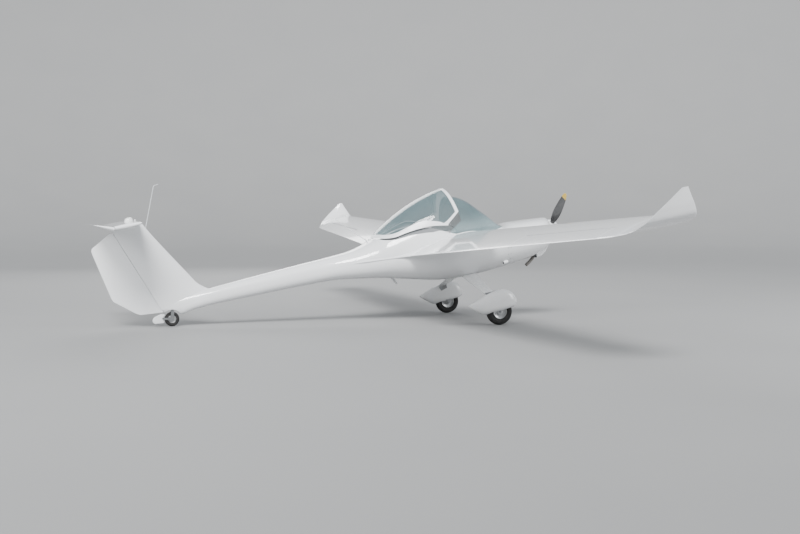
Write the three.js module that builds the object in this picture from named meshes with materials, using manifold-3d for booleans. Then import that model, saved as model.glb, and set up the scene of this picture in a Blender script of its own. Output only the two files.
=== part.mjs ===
// Two-seat T-tail touring motor glider, parked on its main wheels and tailwheel.
// Lengths are millimetres. The row frame has X forward, Y to port and Z up, with the
// wheels' contact at z = 0 and the origin under the middle of the overall box.
// The aircraft itself is built in level axes, whose origin is the middle of the main
// axle line, inside a group that is pitched nose-up by the parked angle.
import * as THREE from 'three';
import { mergeVertices } from 'three/addons/utils/BufferGeometryUtils.js';
import Module from 'manifold-3d';

const wasm = await Module();
wasm.setup();

// Stance
const PARK_ANGLE = THREE.MathUtils.degToRad(11);
const WHEELBASE = 4280;
const HALF_TRACK = 1075;
const TYRE_RADIUS = 180;
const TYRE_HALF_WIDTH = 56;
const TAIL_TYRE_RADIUS = 98;
const TAIL_TYRE_HALF_WIDTH = 27;
const WHEEL_SIDES = 24;
const TAIL_WHEEL_SIDES = 16;

// Clearances
const SEAT_GAP = 0.3;        // between pieces that rest on each other
const MOVING_GAP = 6;        // round a piece that turns
const SKIN = 22;             // cockpit wall, sandwich and frames together
const COWL_SKIN = 10;
const GLASS = 6;
const FRAME_DEPTH = 24;      // canopy frame, measured inwards from the skin
const PIN_RADIUS = 5;        // hinge pins of the canopy and the control surfaces
const EYE_HALF_WIDTH = 4;
const EYE_PLATE_HALF = 7;
const EYE_PLATE_ROOT = 18;
const ACROSS = 700;          // half width of cutters that reach right across the hull
const ABOVE = 2400;          // height of cutters that reach above everything
const FIREWALL_DEPTH = 18;
const BOOM_JOINT_X = -1249.9;

// Attitudes of the movable pieces as parked
const CANOPY_AJAR = THREE.MathUtils.degToRad(6);
const ELEVATOR_UP = THREE.MathUtils.degToRad(22);
const BLADE_ANGLE = THREE.MathUtils.degToRad(33);

// Engine and propeller, along the thrust line
const THRUST_Z = 900;
const FIREWALL_X = 560;
const COWL_FRONT_X = 1360;
const BACKPLATE_X = 1374;
const SPINNER_TIP_X = 1545;
const SPINNER_RADIUS = 100;
const BLADE_X = 1438;
const PROP_RADIUS = 850;

// Hull sections: station x, lowest z, z of the greatest width, highest z, half width
const HULL = [
  [-4420, 868, 905, 960, 26],
  [-4230, 820, 895, 985, 48],
  [-4080, 774, 890, 1004, 64],
  [-3900, 800, 905, 1020, 78],
  [-3660, 812, 922, 1034, 94],
  [-3000, 810, 945, 1072, 124],
  [-2400, 804, 955, 1100, 150],
  [-1900, 785, 955, 1122, 192],
  [-1600, 738, 950, 1150, 256],
  [-1330, 692, 945, 1230, 332],
  [-1150, 654, 942, 1340, 386],
  [-800, 566, 936, 1490, 466],
  [-450, 484, 930, 1588, 516],
  [-95, 450, 926, 1627, 536],
  [110, 448, 926, 1555, 534],
  [330, 456, 930, 1345, 518],
  [560, 470, 930, 1096, 488],
  [800, 487, 925, 1083, 445],
  [1050, 526, 918, 1068, 380],
  [1200, 562, 908, 1056, 318],
  [1290, 602, 900, 1048, 256],
  [1360, 655, 893, 1039, 180],
];
const HULL_SIDES = 26;
const HULL_SQUARENESS = 2.25;

// Side views of the cockpit edge, as x, z. The rim is the top of an inner flange that the
// closed canopy frame laps over, and the step is where the frame's lower edge comes down to.
const RIM = [
  [-1316, 1262], [-1266, 1240], [-1155, 1206], [-1070, 1196], [-980, 1212], [-872, 1250], [-700, 1274],
  [-597, 1272], [-521, 1247], [-384, 1190], [-226, 1117], [-100, 1094], [120, 1062], [350, 1054], [548, 1064],
];
const STEP = [
  [-1316, 1262], [-1266, 1240], [-1155, 1206], [-1032, 1192], [-876, 1207], [-707, 1210], [-556, 1200],
  [-430, 1172], [-296, 1134],
];
const FRAME_TOP = [
  [-1256, 1300], [-1132, 1256], [-1009, 1250], [-850, 1278], [-691, 1300], [-597, 1298], [-500, 1266],
  [-400, 1224], [-345, 1192],
];
const HOOP_KNEE = [-97, 1282];
// Where the canopy frame turns up off the sill, and the windscreen's corner ahead of it
const CANOPY_CORNER = [[-302, 1142], [-302, 1160]];
const SCREEN_CORNER = [[-290, 1156], [-290, 1147]];
const HOOP_WIDTH = 45;
const HOOP_TOP_Z = 1700;
const LAP_DEPTH = 8;         // canopy frame's thickness where it laps over the flange
const CANOPY_HINGE = [-1322, 1240];

// Wing sections: y, leading edge x, trailing edge x, trailing edge z, cant in degrees, thickness ratio
const WING = [
  [560, 266, -924, 944, 3, 0.160],
  [2400, 226, -828, 1041, 3, 0.160],
  [4200, 187, -733, 1136, 3, 0.158],
  [5800, 152, -649, 1220, 3, 0.155],
  [6130, 142, -590, 1243, 9, 0.140],
  [6290, 128, -525, 1272, 28, 0.125],
  [6376, 104, -452, 1324, 52, 0.115],
  [6415, 74, -330, 1410, 70, 0.105],
  [6436, 40, -190, 1500, 77, 0.100],
  [6450, 10, -56, 1588, 80, 0.100],
];
// Root fairing sections: y, leading edge x, trailing edge x, trailing edge z
const FAIRING = [
  [560, 269, -930, 942],
  [500, 276, -945, 942],
  [430, 286, -1050, 946],
  [360, 296, -1270, 957],
  [290, 300, -1520, 970],
  [215, 300, -1745, 981],
];
const WING_INCIDENCE = THREE.MathUtils.degToRad(1.4);
const WING_CAMBER = 0.045;
const AILERON_INNER_Y = 3700;
const AILERON_OUTER_Y = 5740;
const AILERON_CHORD = 0.24;
const AILERON_NOSE = 42;
const AERO_POINTS = 11;      // points along each face of a wing section

// Fin and rudder: z, leading edge x, trailing edge x
const FIN = [
  [880, -3500, -4880],
  [1000, -3610, -4904],
  [1062, -3700, -4916],
  [1140, -3790, -4932],
  [1262, -3870, -4956],
  [1829, -4219, -5068],
  [2100, -4370, -5122],
];
const FIN_THICKNESS = 0.08;
const RUDDER_HINGE_LOW = [-4359, 898];
const RUDDER_HINGE_HIGH = [-4765, 1955];
const RUDDER_OUTLINE = [
  [-4340, 855], [-4627, 879], [-4927, 1121], [-5066, 1820], [-5058, 1859], [-4800, 2010], [-4740, 2010],
];
const RUDDER_NOSE = 42;

// Tailplane
const TAIL_HALF_SPAN = 1350;
const TAIL_Z = 2096;
// y, leading edge x, trailing edge x
const TAIL = [[0, -4392, -5052], [TAIL_HALF_SPAN - 60, -4448, -5052], [TAIL_HALF_SPAN, -4480, -5040]];
const TAIL_THICKNESS = 0.095;
const ELEVATOR_HINGE_X = -4812;
const ELEVATOR_NOSE = 24;

// Name of a finish: colour, roughness, metalness
const COLOURS = {
  white: [0xf2f3f4, 0.22, 0.0],
  frame_white: [0xe9ecee, 0.3, 0.0],
  glass: [0x9fc3c8, 0.05, 0.0],
  black: [0x17181a, 0.38, 0.0],
  rubber: [0x1b1b1c, 0.85, 0.0],
  alloy: [0xb9bdc1, 0.32, 0.9],
  steel: [0x83868a, 0.42, 0.85],
  seat: [0x4a5260, 0.85, 0.0],
  panel: [0x24272b, 0.7, 0.0],
};

function finish(name) {
  const [color, roughness, metalness] = COLOURS[name];
  const glassy = name === 'glass' ? { transparent: true, opacity: 0.35 } : {};
  return new THREE.MeshStandardMaterial({ color, roughness, metalness, ...glassy });
}

const v = (x, y, z) => new THREE.Vector3(x, y, z);
const behind = v(-1, 0, 0);

// Closed mesh to a solid that can be cut and joined, and back
function toSolid(geometry) {
  const bare = geometry.clone();
  bare.deleteAttribute('normal');
  bare.deleteAttribute('uv');
  const merged = mergeVertices(bare, 1e-3);
  return new wasm.Manifold(new wasm.Mesh({
    numProp: 3,
    vertProperties: new Float32Array(merged.attributes.position.array),
    triVerts: new Uint32Array(merged.index.array),
  }));
}

function toGeometry(solid) {
  const mesh = solid.getMesh();
  const geometry = new THREE.BufferGeometry();
  geometry.setAttribute('position', new THREE.BufferAttribute(new Float32Array(mesh.vertProperties), 3));
  geometry.setIndex(new THREE.BufferAttribute(new Uint32Array(mesh.triVerts), 1));
  geometry.computeVertexNormals();
  return geometry;
}

// Skin through rings of points, closed by a fan at each end and turned to face outwards
function loft(rings) {
  const count = rings[0].length;
  const points = rings.flat();
  const index = [];
  for (let r = 0; r + 1 < rings.length; r++) {
    for (let i = 0; i < count; i++) {
      const a = r * count + i;
      const b = r * count + (i + 1) % count;
      index.push(a, b, a + count, b, b + count, a + count);
    }
  }
  const lastStart = (rings.length - 1) * count;
  for (const [ring, start, outward] of [[rings[0], 0, false], [rings.at(-1), lastStart, true]]) {
    const centre = new THREE.Vector3();
    ring.forEach((p) => centre.addScaledVector(p, 1 / count));
    points.push(centre);
    for (let i = 0; i < count; i++) {
      const pair = [start + i, start + (i + 1) % count];
      index.push(...(outward ? pair : pair.reverse()), points.length - 1);
    }
  }
  let volume = 0;
  for (let i = 0; i < index.length; i += 3) {
    const [p, q, s] = [points[index[i]], points[index[i + 1]], points[index[i + 2]]];
    volume += p.dot(q.clone().cross(s));
  }
  const geometry = new THREE.BufferGeometry().setFromPoints(points);
  geometry.setIndex(volume > 0 ? index : index.reverse());
  return geometry;
}

// Side outline of x, z points carried across from one y to another
function sidePrism(outline, fromY, toY) {
  const shape = new THREE.Shape(outline.map(([x, z]) => new THREE.Vector2(x, z)));
  const prism = new THREE.ExtrudeGeometry(shape, { depth: toY - fromY, bevelEnabled: false, steps: 1 });
  return prism.rotateX(Math.PI / 2).translate(0, toY, 0);
}

function box(fromX, toX, fromY, toY, fromZ, toZ) {
  return new THREE.BoxGeometry(toX - fromX, toY - fromY, toZ - fromZ)
    .translate((fromX + toX) / 2, (fromY + toY) / 2, (fromZ + toZ) / 2);
}

// Round bar between two points, of a radius at each end
function bar(from, to, radiusFrom, radiusTo = radiusFrom, sides = 12) {
  const a = new THREE.Vector3(...from);
  const b = new THREE.Vector3(...to);
  const along = b.clone().sub(a);
  const cylinder = new THREE.CylinderGeometry(radiusTo, radiusFrom, along.length(), sides);
  const turn = new THREE.Quaternion().setFromUnitVectors(new THREE.Vector3(0, 1, 0), along.normalize());
  return cylinder.applyQuaternion(turn).translate(...a.add(b).multiplyScalar(0.5).toArray());
}

// Solid of revolution about the y axis, from radius and y pairs, with a facet's edge at the ground
function wheelLathe(profile, sides) {
  const points = profile.map(([r, y]) => new THREE.Vector2(r, y));
  return new THREE.LatheGeometry(points, sides).rotateY(PARK_ANGLE);
}

// Value of a table column at x by a cubic through neighbouring rows
function tableAt(table, x) {
  const last = table.length - 1;
  let i = 0;
  while (i < last - 1 && x > table[i + 1][0]) i++;
  const [p, q] = [table[i], table[i + 1]];
  const [before, after] = [table[Math.max(i - 1, 0)], table[Math.min(i + 2, last)]];
  const span = q[0] - p[0];
  const t = Math.min(Math.max((x - p[0]) / span, 0), 1);
  return p.slice(1).map((value, c) => {
    const slopeP = (q[c + 1] - before[c + 1]) / (q[0] - before[0]) * span;
    const slopeQ = (after[c + 1] - value) / (after[0] - p[0]) * span;
    return value * (2 * t ** 3 - 3 * t * t + 1) + slopeP * (t ** 3 - 2 * t * t + t)
      + q[c + 1] * (3 * t * t - 2 * t ** 3) + slopeQ * (t ** 3 - t * t);
  });
}

// Hull section at x, a superellipse whose upper and lower halves have their own heights
function hullRing(x, inset = 0, sides = HULL_SIDES) {
  const [low, mid, high, half] = tableAt(HULL, x);
  const power = 2 / HULL_SQUARENESS;
  return Array.from({ length: sides }, (_, i) => {
    const angle = 2 * Math.PI * i / sides;
    const [c, s] = [Math.cos(angle), Math.sin(angle)];
    const reach = (s > 0 ? high - mid : mid - low) - inset;
    return new THREE.Vector3(x, Math.sign(c) * Math.abs(c) ** power * (half - inset),
      mid + Math.sign(s) * Math.abs(s) ** power * reach);
  });
}

function hullSolid(stations, inset = 0) {
  return toSolid(loft(stations.map((x) => hullRing(x, inset))));
}

// Both faces of a wing section in chord fractions, from the trailing edge over the top and back
function aeroPoints(thickness, camber) {
  const half = (x) => (x === 0 ? 0 : 5 * thickness * (0.2969 * Math.sqrt(x) - 0.1260 * x - 0.3516 * x * x
    + 0.2843 * x ** 3 - 0.1015 * x ** 4) + 0.0012);
  const bend = (x) => camber * (x < 0.4 ? (0.8 * x - x * x) / 0.16 : (0.2 + 0.8 * x - x * x) / 0.36);
  const turn = (i) => Math.PI * i / (AERO_POINTS - 1);
  const stations = Array.from({ length: AERO_POINTS }, (_, i) => (1 + Math.cos(turn(i))) / 2);
  const top = stations.map((x) => [x, bend(x) + half(x)]);
  const bottom = stations.slice(1, -1).reverse().map((x) => [x, bend(x) - half(x)]);
  bottom.push([1, -half(1)]);
  return [...top, ...bottom];
}

// Wing section at y, its face turned up by the cant angle
function wingRing([y, leadX, trailX, trailZ, cantDegrees, thickness], side, pad = 0) {
  const chord = leadX - trailX;
  const cant = THREE.MathUtils.degToRad(cantDegrees);
  return aeroPoints(thickness, WING_CAMBER).map(([x, h]) => {
    const rise = h * chord + Math.sign(h) * pad + (1 - x) * chord * Math.tan(WING_INCIDENCE);
    return new THREE.Vector3(leadX - x * chord, side * (y - rise * Math.sin(cant)),
      trailZ + rise * Math.cos(cant));
  });
}

// Cutter for a hinged surface: a round nose about the hinge line, reaching far behind it.
// The hinge runs from a to b, back points to the trailing edge, up is the face normal.
function hingeRegion(a, b, back, radius, reach, height) {
  const along = b.clone().sub(a).normalize();
  const up = new THREE.Vector3().crossVectors(along, back).normalize();
  const rear = new THREE.Vector3().crossVectors(up, along).normalize();
  const outline = [[reach, -height], [reach, height], [0, height], [0, radius]];
  for (let k = 1; k < 8; k++) {
    const angle = Math.PI / 2 + Math.PI * k / 8;
    outline.push([radius * Math.cos(angle), radius * Math.sin(angle)]);
  }
  outline.push([0, -radius], [0, -height]);
  return loft([a, b].map((origin) => outline.map(([r, u]) => origin.clone().addScaledVector(rear, r)
    .addScaledVector(up, u))));
}

// Hinge brackets at given fractions of a hinge line. The movable piece is notched and keeps
// a pin across each notch, and the fixed piece holds a plate with an eye round that pin.
function hingeEyes(a, b, fractions, noseRadius) {
  const along = b.clone().sub(a).normalize();
  const up = new THREE.Vector3().crossVectors(along, behind).normalize();
  const rear = new THREE.Vector3().crossVectors(up, along).normalize();
  const at = (t, s) => a.clone().lerp(b, t).addScaledVector(along, s);
  const rod = (t, half, radius, sides) => toSolid(bar(at(t, -half).toArray(), at(t, half).toArray(),
    radius, radius, sides));
  const plateEnd = -noseRadius - EYE_PLATE_ROOT;
  const plateSide = [[0, -1], [0, 1], [plateEnd, 1], [plateEnd, -1]];
  const plateRing = (t, s) => plateSide.map(([r, u]) => at(t, s).addScaledVector(rear, r)
    .addScaledVector(up, u * EYE_PLATE_HALF));
  const plate = (t) => toSolid(loft([plateRing(t, -EYE_HALF_WIDTH), plateRing(t, EYE_HALF_WIDTH)]));
  const all = (make) => fractions.map(make).reduce((whole, one) => whole.add(one));
  return {
    notches: all((t) => rod(t, EYE_HALF_WIDTH + MOVING_GAP, noseRadius + 5, 8)),
    pins: all((t) => rod(t, EYE_HALF_WIDTH + MOVING_GAP + 3, PIN_RADIUS, 8)),
    plates: all((t) => rod(t, EYE_HALF_WIDTH, PIN_RADIUS + 6, 8).add(plate(t))
      .subtract(rod(t, EYE_HALF_WIDTH + 2, PIN_RADIUS + 0.9, 8))),
  };
}

const aircraft = new THREE.Group();
const level = new THREE.Group();
level.rotation.y = -PARK_ANGLE;
level.position.z = TYRE_RADIUS;
aircraft.add(level);

function addPart(name, solid, colour, parent = level) {
  const geometry = solid.isBufferGeometry ? solid : toGeometry(solid);
  const mesh = new THREE.Mesh(geometry, finish(colour));
  mesh.name = name;
  parent.add(mesh);
  return mesh;
}

// Group about a hinge, so that what hangs on it is modelled in level axes and then turned
function hingeGroup(name, point, axis, angle) {
  const group = new THREE.Group();
  group.name = name;
  group.position.copy(point);
  group.quaternion.setFromAxisAngle(axis, angle);
  group.userData.axis = axis.clone();
  level.add(group);
  const inner = new THREE.Group();
  inner.position.copy(point).negate();
  group.add(inner);
  return inner;
}

function stationsBetween(from, to, steps) {
  return Array.from({ length: steps + 1 }, (_, i) => from + (to - from) * i / steps);
}
const hullStations = [-4420, -4300, -4180, -4080, -3980, -3820, -3660, -3000, -2400, -2050,
  ...stationsBetween(-1800, FIREWALL_X, 14)];

// Hull, fin and root fairings are one moulding, cut for what moves in it
const hullOuter = hullSolid(hullStations);
const hullGrown = hullSolid([...hullStations, ...stationsBetween(660, COWL_FRONT_X, 5)], -SEAT_GAP);
const acrossHull = (outline) => toSolid(sidePrism(outline, -ACROSS, ACROSS));
const upwards = (line) => acrossHull([...line, [line.at(-1)[0], ABOVE], [line[0][0], ABOVE]]);
const raise = (line, dz) => line.map(([x, z]) => [x, z + dz]);
const rimPrism = upwards(RIM);

// What lies deeper than a given distance under the hull's skin, over the cockpit's length
function insideHull(depth) {
  return toSolid(loft(stationsBetween(-1330, FIREWALL_X + 30, 15).map((x) => hullRing(x, depth))));
}

function fairing(side) {
  const rings = FAIRING.map(([y, leadX, trailX, trailZ]) => {
    const thickness = 190 / (leadX - trailX);
    return wingRing([y, leadX, trailX, trailZ, 3, thickness], side);
  });
  return toSolid(loft(rings));
}

function finRing([z, leadX, trailX], pad = 0) {
  const chord = leadX - trailX;
  return aeroPoints(FIN_THICKNESS, 0).map(([x, h]) => v(leadX + pad - x * chord,
    h * chord + Math.sign(h) * pad, z));
}
const finWhole = toSolid(loft(FIN.map((row) => finRing(row))));
const finGrown = toSolid(loft(FIN.map((row) => finRing(row, SEAT_GAP))));
const rudderHinge = [RUDDER_HINGE_LOW, RUDDER_HINGE_HIGH].map(([x, z]) => v(x, 0, z));
const rudderAxis = rudderHinge[1].clone().sub(rudderHinge[0]).normalize();
const hingePoint = (s) => rudderHinge[0].clone().addScaledVector(rudderAxis, s);
const rudderHole = toSolid(hingeRegion(hingePoint(-150), hingePoint(1500), behind,
  RUDDER_NOSE + MOVING_GAP, 900, 300));
const rudderNose = toSolid(hingeRegion(hingePoint(-30), hingePoint(1160), behind, RUDDER_NOSE, 900, 300));

function tailRing([y, leadX, trailX], pad = 0) {
  const chord = leadX - trailX + 2 * pad;
  return aeroPoints(TAIL_THICKNESS, 0).map(([x, h]) => v(leadX + pad - x * chord, y,
    TAIL_Z + h * chord + Math.sign(h) * pad));
}
const tailRows = [...TAIL.slice(1).reverse().map(([y, l, t]) => [-y, l, t]), ...TAIL];
const tailWhole = toSolid(loft(tailRows.map((row) => tailRing(row))));
const tailGrown = toSolid(loft(tailRows.map((row) => tailRing(row, SEAT_GAP))));
const elevatorEnd = TAIL_HALF_SPAN + 60;
const elevatorHinge = [v(ELEVATOR_HINGE_X, -elevatorEnd, TAIL_Z), v(ELEVATOR_HINGE_X, elevatorEnd, TAIL_Z)];

const tailDrop = TAIL_TYRE_RADIUS - TYRE_RADIUS;
const tailWheel = v(-WHEELBASE * Math.cos(PARK_ANGLE) + tailDrop * Math.sin(PARK_ANGLE), 0,
  WHEELBASE * Math.sin(PARK_ANGLE) + tailDrop * Math.cos(PARK_ANGLE));
// Round bar across the tail, about the tailwheel's own axis
const tailBar = (half, radius, sides) => toSolid(bar([tailWheel.x, -half, tailWheel.z],
  [tailWheel.x, half, tailWheel.z], radius, radius, sides));
const TAIL_ARCH = 130;
const STEER_X = tailWheel.x + 30;
const STEER_TOP = tailWheel.z + 176;
const POST_RADIUS = 14;
const tailArch = tailBar(140, TAIL_ARCH, 32);
const postBore = toSolid(bar([STEER_X, 0, tailWheel.z], [STEER_X, 0, STEER_TOP + 1], POST_RADIUS + 1));

const cockpitStations = stationsBetween(-1250, FIREWALL_X - FIREWALL_DEPTH, 14);
const cavity = toSolid(loft(cockpitStations.map((x) => hullRing(x, SKIN))));
const cavityFit = toSolid(loft(cockpitStations.map((x) => hullRing(x, SKIN + SEAT_GAP))));
const finTop = toSolid(box(-5300, -3300, -200, 200, TAIL_Z, ABOVE));
const rudderEyes = hingeEyes(...rudderHinge, [0.14, 0.8], RUDDER_NOSE);

// Canopy hinge: a pocket in the skin for the frame's arm, between two lugs for its pin
const [canopyPinX, canopyPinZ] = CANOPY_HINGE;
const canopyPin = (half, radius, sides) => toSolid(bar([canopyPinX, -half, canopyPinZ],
  [canopyPinX, half, canopyPinZ], radius, radius, sides));
const HINGE_ARM_HALF = 20;
const hingePocket = toSolid(box(canopyPinX - 22, canopyPinX + 60, -HINGE_ARM_HALF - MOVING_GAP,
  HINGE_ARM_HALF + MOVING_GAP, canopyPinZ - 18, 1500));
const LUG_Y = 35;
const hingeLugs = [1, -1].map((side) => toSolid(box(canopyPinX - 12, canopyPinX + 12,
  side * LUG_Y - 9, side * LUG_Y + 9, canopyPinZ - 26, canopyPinZ + 12))
  .subtract(canopyPin(60, PIN_RADIUS + 0.5, 12)));

const moulding = hullOuter.add(fairing(1)).add(fairing(-1)).add(finWhole.subtract(finTop))
  .subtract(cavity).subtract(rimPrism).subtract(upwards(STEP).subtract(insideHull(LAP_DEPTH + MOVING_GAP)))
  .subtract(rudderHole).subtract(tailArch).subtract(postBore).subtract(tailGrown)
  .subtract(hingePocket).subtract(canopyPin(44, PIN_RADIUS + 0.5, 12))
  .add(rudderEyes.plates).add(hingeLugs[0]).add(hingeLugs[1]);

// The moulding's own parts: the cockpit tub, the boom with its fin, and the firewall
const tubFront = FIREWALL_X - FIREWALL_DEPTH;
const slice = (fromX, toX) => moulding.intersect(toSolid(box(fromX, toX, -ACROSS, ACROSS, 0, ABOVE)));
addPart('fuselage', slice(BOOM_JOINT_X, tubFront), 'white');
addPart('tail_boom', slice(-5300, BOOM_JOINT_X - SEAT_GAP), 'white');
addPart('firewall', slice(tubFront + SEAT_GAP, FIREWALL_X), 'white');

// Canopy and windscreen come from the hull's own skin above the cockpit edge
const canopySkin = hullSolid(stationsBetween(-1345, FIREWALL_X + 1, 15));
const shellOf = (depth) => canopySkin.subtract(insideHull(depth));
const hoop = (inset) => [[HOOP_KNEE[0] - inset, HOOP_KNEE[1] + inset * 0.2],
  [HOOP_KNEE[0] - inset, HOOP_TOP_Z]];
const canopyWhole = acrossHull([...raise(STEP.slice(0, -1), MOVING_GAP), ...CANOPY_CORNER, ...hoop(0),
  [STEP[0][0], HOOP_TOP_Z]]);
const pane = (gap) => acrossHull([...raise(FRAME_TOP, gap), ...hoop(HOOP_WIDTH + gap),
  [FRAME_TOP[0][0] + gap, HOOP_TOP_Z]]);
const flangeClear = insideHull(LAP_DEPTH).subtract(upwards(raise(RIM, MOVING_GAP)));
const canopy = hingeGroup('canopy_hinge', v(CANOPY_HINGE[0], 0, CANOPY_HINGE[1]), v(0, 1, 0), -CANOPY_AJAR);
const hingeArm = toSolid(box(canopyPinX - 9, canopyPinX + 54, -HINGE_ARM_HALF, HINGE_ARM_HALF,
  canopyPinZ - 9, canopyPinZ + 9));
addPart('canopy_frame', shellOf(FRAME_DEPTH).intersect(canopyWhole)
  .subtract(pane(0)).subtract(flangeClear).add(hingeArm)
  .add(canopyPin(44, PIN_RADIUS, 10)), 'frame_white', canopy);
addPart('canopy_glass', shellOf(GLASS).intersect(pane(SEAT_GAP)), 'glass', canopy);

const screenRim = RIM.filter(([x]) => x > -240);
const screenRear = HOOP_KNEE[0] + MOVING_GAP;
const [screenFront, screenFrontZ] = RIM.at(-1).map((value, i) => value + (i === 0 ? -SEAT_GAP : SEAT_GAP));
const screenOutline = [[screenRear, HOOP_TOP_Z], [screenRear, HOOP_KNEE[1] - MOVING_GAP / 2],
  ...SCREEN_CORNER, ...raise(screenRim.slice(0, -1), SEAT_GAP),
  [screenFront, screenFrontZ], [screenFront, HOOP_TOP_Z]];
addPart('windscreen', shellOf(GLASS).intersect(acrossHull(screenOutline)), 'glass');

// Stay that props the canopy, on its starboard front corner, hanging inside the sill
const STAY_Y = -462;
addPart('canopy_stay', toSolid(bar([-292, STAY_Y, 1190], [-150, STAY_Y + 30, 1010], 5, 5, 8))
  .add(toSolid(bar([-290, STAY_Y + 3, 1187], [-290, STAY_Y - 24, 1187], 4, 4, 8)))
  .subtract(shellOf(FRAME_DEPTH + SEAT_GAP)), 'steel', canopy);

// Cockpit fittings, each cut to the inside of the hull
const seatOutline = [[-60, 560], [-60, 640], [-480, 620], [-560, 660], [-860, 1120], [-960, 1100],
  [-700, 560], [-560, 480], [-60, 440]];
for (const [name, side] of [['port', 1], ['starboard', -1]]) {
  const [inner, outer] = [30 * side, 445 * side];
  const profile = toSolid(sidePrism(seatOutline, Math.min(inner, outer), Math.max(inner, outer)));
  addPart(`seat_${name}`, cavityFit.intersect(profile), 'seat');
  const stick = toSolid(bar([60, 235 * side, 430], [20, 235 * side, 830], 11, 9, 8))
    .add(toSolid(bar([24, 235 * side, 800], [14, 235 * side, 920], 17, 15, 8)));
  addPart(`stick_${name}`, cavityFit.intersect(stick), 'black');
}
const panelOutline = [[165, 790], [250, 790], [330, 1020], [330, 1052], [150, 1072], [120, 1060],
  [200, 1040]];
addPart('instrument_panel', cavityFit.intersect(acrossHull(panelOutline))
  .subtract(rimPrism.translate([0, 0, -SEAT_GAP])), 'panel');

// Cowlings, split at the thrust line, with the chin lip under the spinner
const cowlStations = stationsBetween(FIREWALL_X + SEAT_GAP, COWL_FRONT_X, 8);
const bayStations = stationsBetween(FIREWALL_X - 5, COWL_FRONT_X - COWL_SKIN, 8);
const engineBay = toSolid(loft(bayStations.map((x) => hullRing(x, COWL_SKIN))));
const SHAFT_HOLE = 62;
const INTAKE = [[1366, 785], [1302, 620], [1302, 500], [1500, 500], [1500, 785]];
const cowlShell = hullSolid(cowlStations).subtract(engineBay)
  .subtract(toSolid(bar([1200, 0, THRUST_Z], [1500, 0, THRUST_Z], SHAFT_HOLE, SHAFT_HOLE, 20)))
  .subtract(acrossHull(INTAKE));
const SPLIT_Z = 880;
// Chin scoop below the nose intake, as x, z side outlines of its lip and of its two cheeks
const chinLip = [[1290, 668], [1300, 640], [1286, 606], [1230, 545], [1162, 505], [1090, 492],
  [1092, 504], [1158, 520], [1216, 560], [1270, 620], [1276, 668]];
const CHIN_HALF = 125;
const CHEEK_DEPTH = 12;
const EXHAUST_SLOT = [[1140, 640], [1140, 470], [990, 400], [990, 640]];
const cheek = [[1276, 720], [1276, 610], [1228, 562], [1171, 522], [1136, 530], [1126, 720]];
const chin = toSolid(sidePrism(chinLip, -CHIN_HALF, CHIN_HALF))
  .add(toSolid(sidePrism(cheek, CHIN_HALF - CHEEK_DEPTH, CHIN_HALF)))
  .add(toSolid(sidePrism(cheek, -CHIN_HALF, CHEEK_DEPTH - CHIN_HALF)))
  .subtract(engineBay);
const cowlHalf = (fromZ, toZ) => cowlShell.intersect(toSolid(box(500, 1400, -ACROSS, ACROSS, fromZ, toZ)));
addPart('cowl_upper', cowlHalf(SPLIT_Z + SEAT_GAP, 1300), 'white');
const exhaustSlot = toSolid(sidePrism(EXHAUST_SLOT, -42, 42));
addPart('cowl_lower', cowlHalf(400, SPLIT_Z).add(chin).subtract(exhaustSlot), 'white');

// Engine as one block with its mount and output shaft
const ENGINE = { rear: 640, front: 1180, half: 185, low: 690, high: 965 };
const MOUNT = { y: 130, middle: 830, z: 90, half: 18 };
const mountArms = [[1, 1], [1, -1], [-1, 1], [-1, -1]].map(([sy, sz]) => {
  const [y, z] = [sy * MOUNT.y, MOUNT.middle + sz * MOUNT.z];
  return toSolid(box(FIREWALL_X + SEAT_GAP, ENGINE.rear + 10, y - MOUNT.half, y + MOUNT.half,
    z - MOUNT.half, z + MOUNT.half));
});
const engineBox = (pad) => toSolid(box(ENGINE.rear - pad, ENGINE.front + pad,
  -ENGINE.half - pad, ENGINE.half + pad, ENGINE.low - pad, ENGINE.high + pad));
const engine = mountArms.reduce((whole, arm) => whole.add(arm), engineBox(0))
  .add(toSolid(bar([ENGINE.front - 10, 0, THRUST_Z], [BACKPLATE_X - SEAT_GAP, 0, THRUST_Z], 38, 38, 20)));
addPart('engine_block', engine, 'alloy');
const EXHAUST_RADIUS = 24;
const EXHAUST_BORE = 21;
const exhaust = toSolid(bar([1080, 0, 720], [1072, 0, 492], EXHAUST_RADIUS, EXHAUST_RADIUS, 16))
  .add(toSolid(bar([1090, 0, 496], [945, 0, 409], EXHAUST_RADIUS, EXHAUST_RADIUS, 16)))
  .subtract(toSolid(bar([985, 0, 433], [905, 0, 385], EXHAUST_BORE, EXHAUST_BORE, 16)));
addPart('exhaust_pipe', exhaust.subtract(engineBox(SEAT_GAP)), 'steel');
addPart('cabin_vent', toSolid(new THREE.SphereGeometry(1, 14, 8).scale(56, 40, 32).translate(497, -330, 560))
  .subtract(hullGrown), 'white');

// Propeller, spinner and backplate
const propeller = hingeGroup('propeller_spin', v(BLADE_X, 0, THRUST_Z), v(1, 0, 0), 0);
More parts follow.
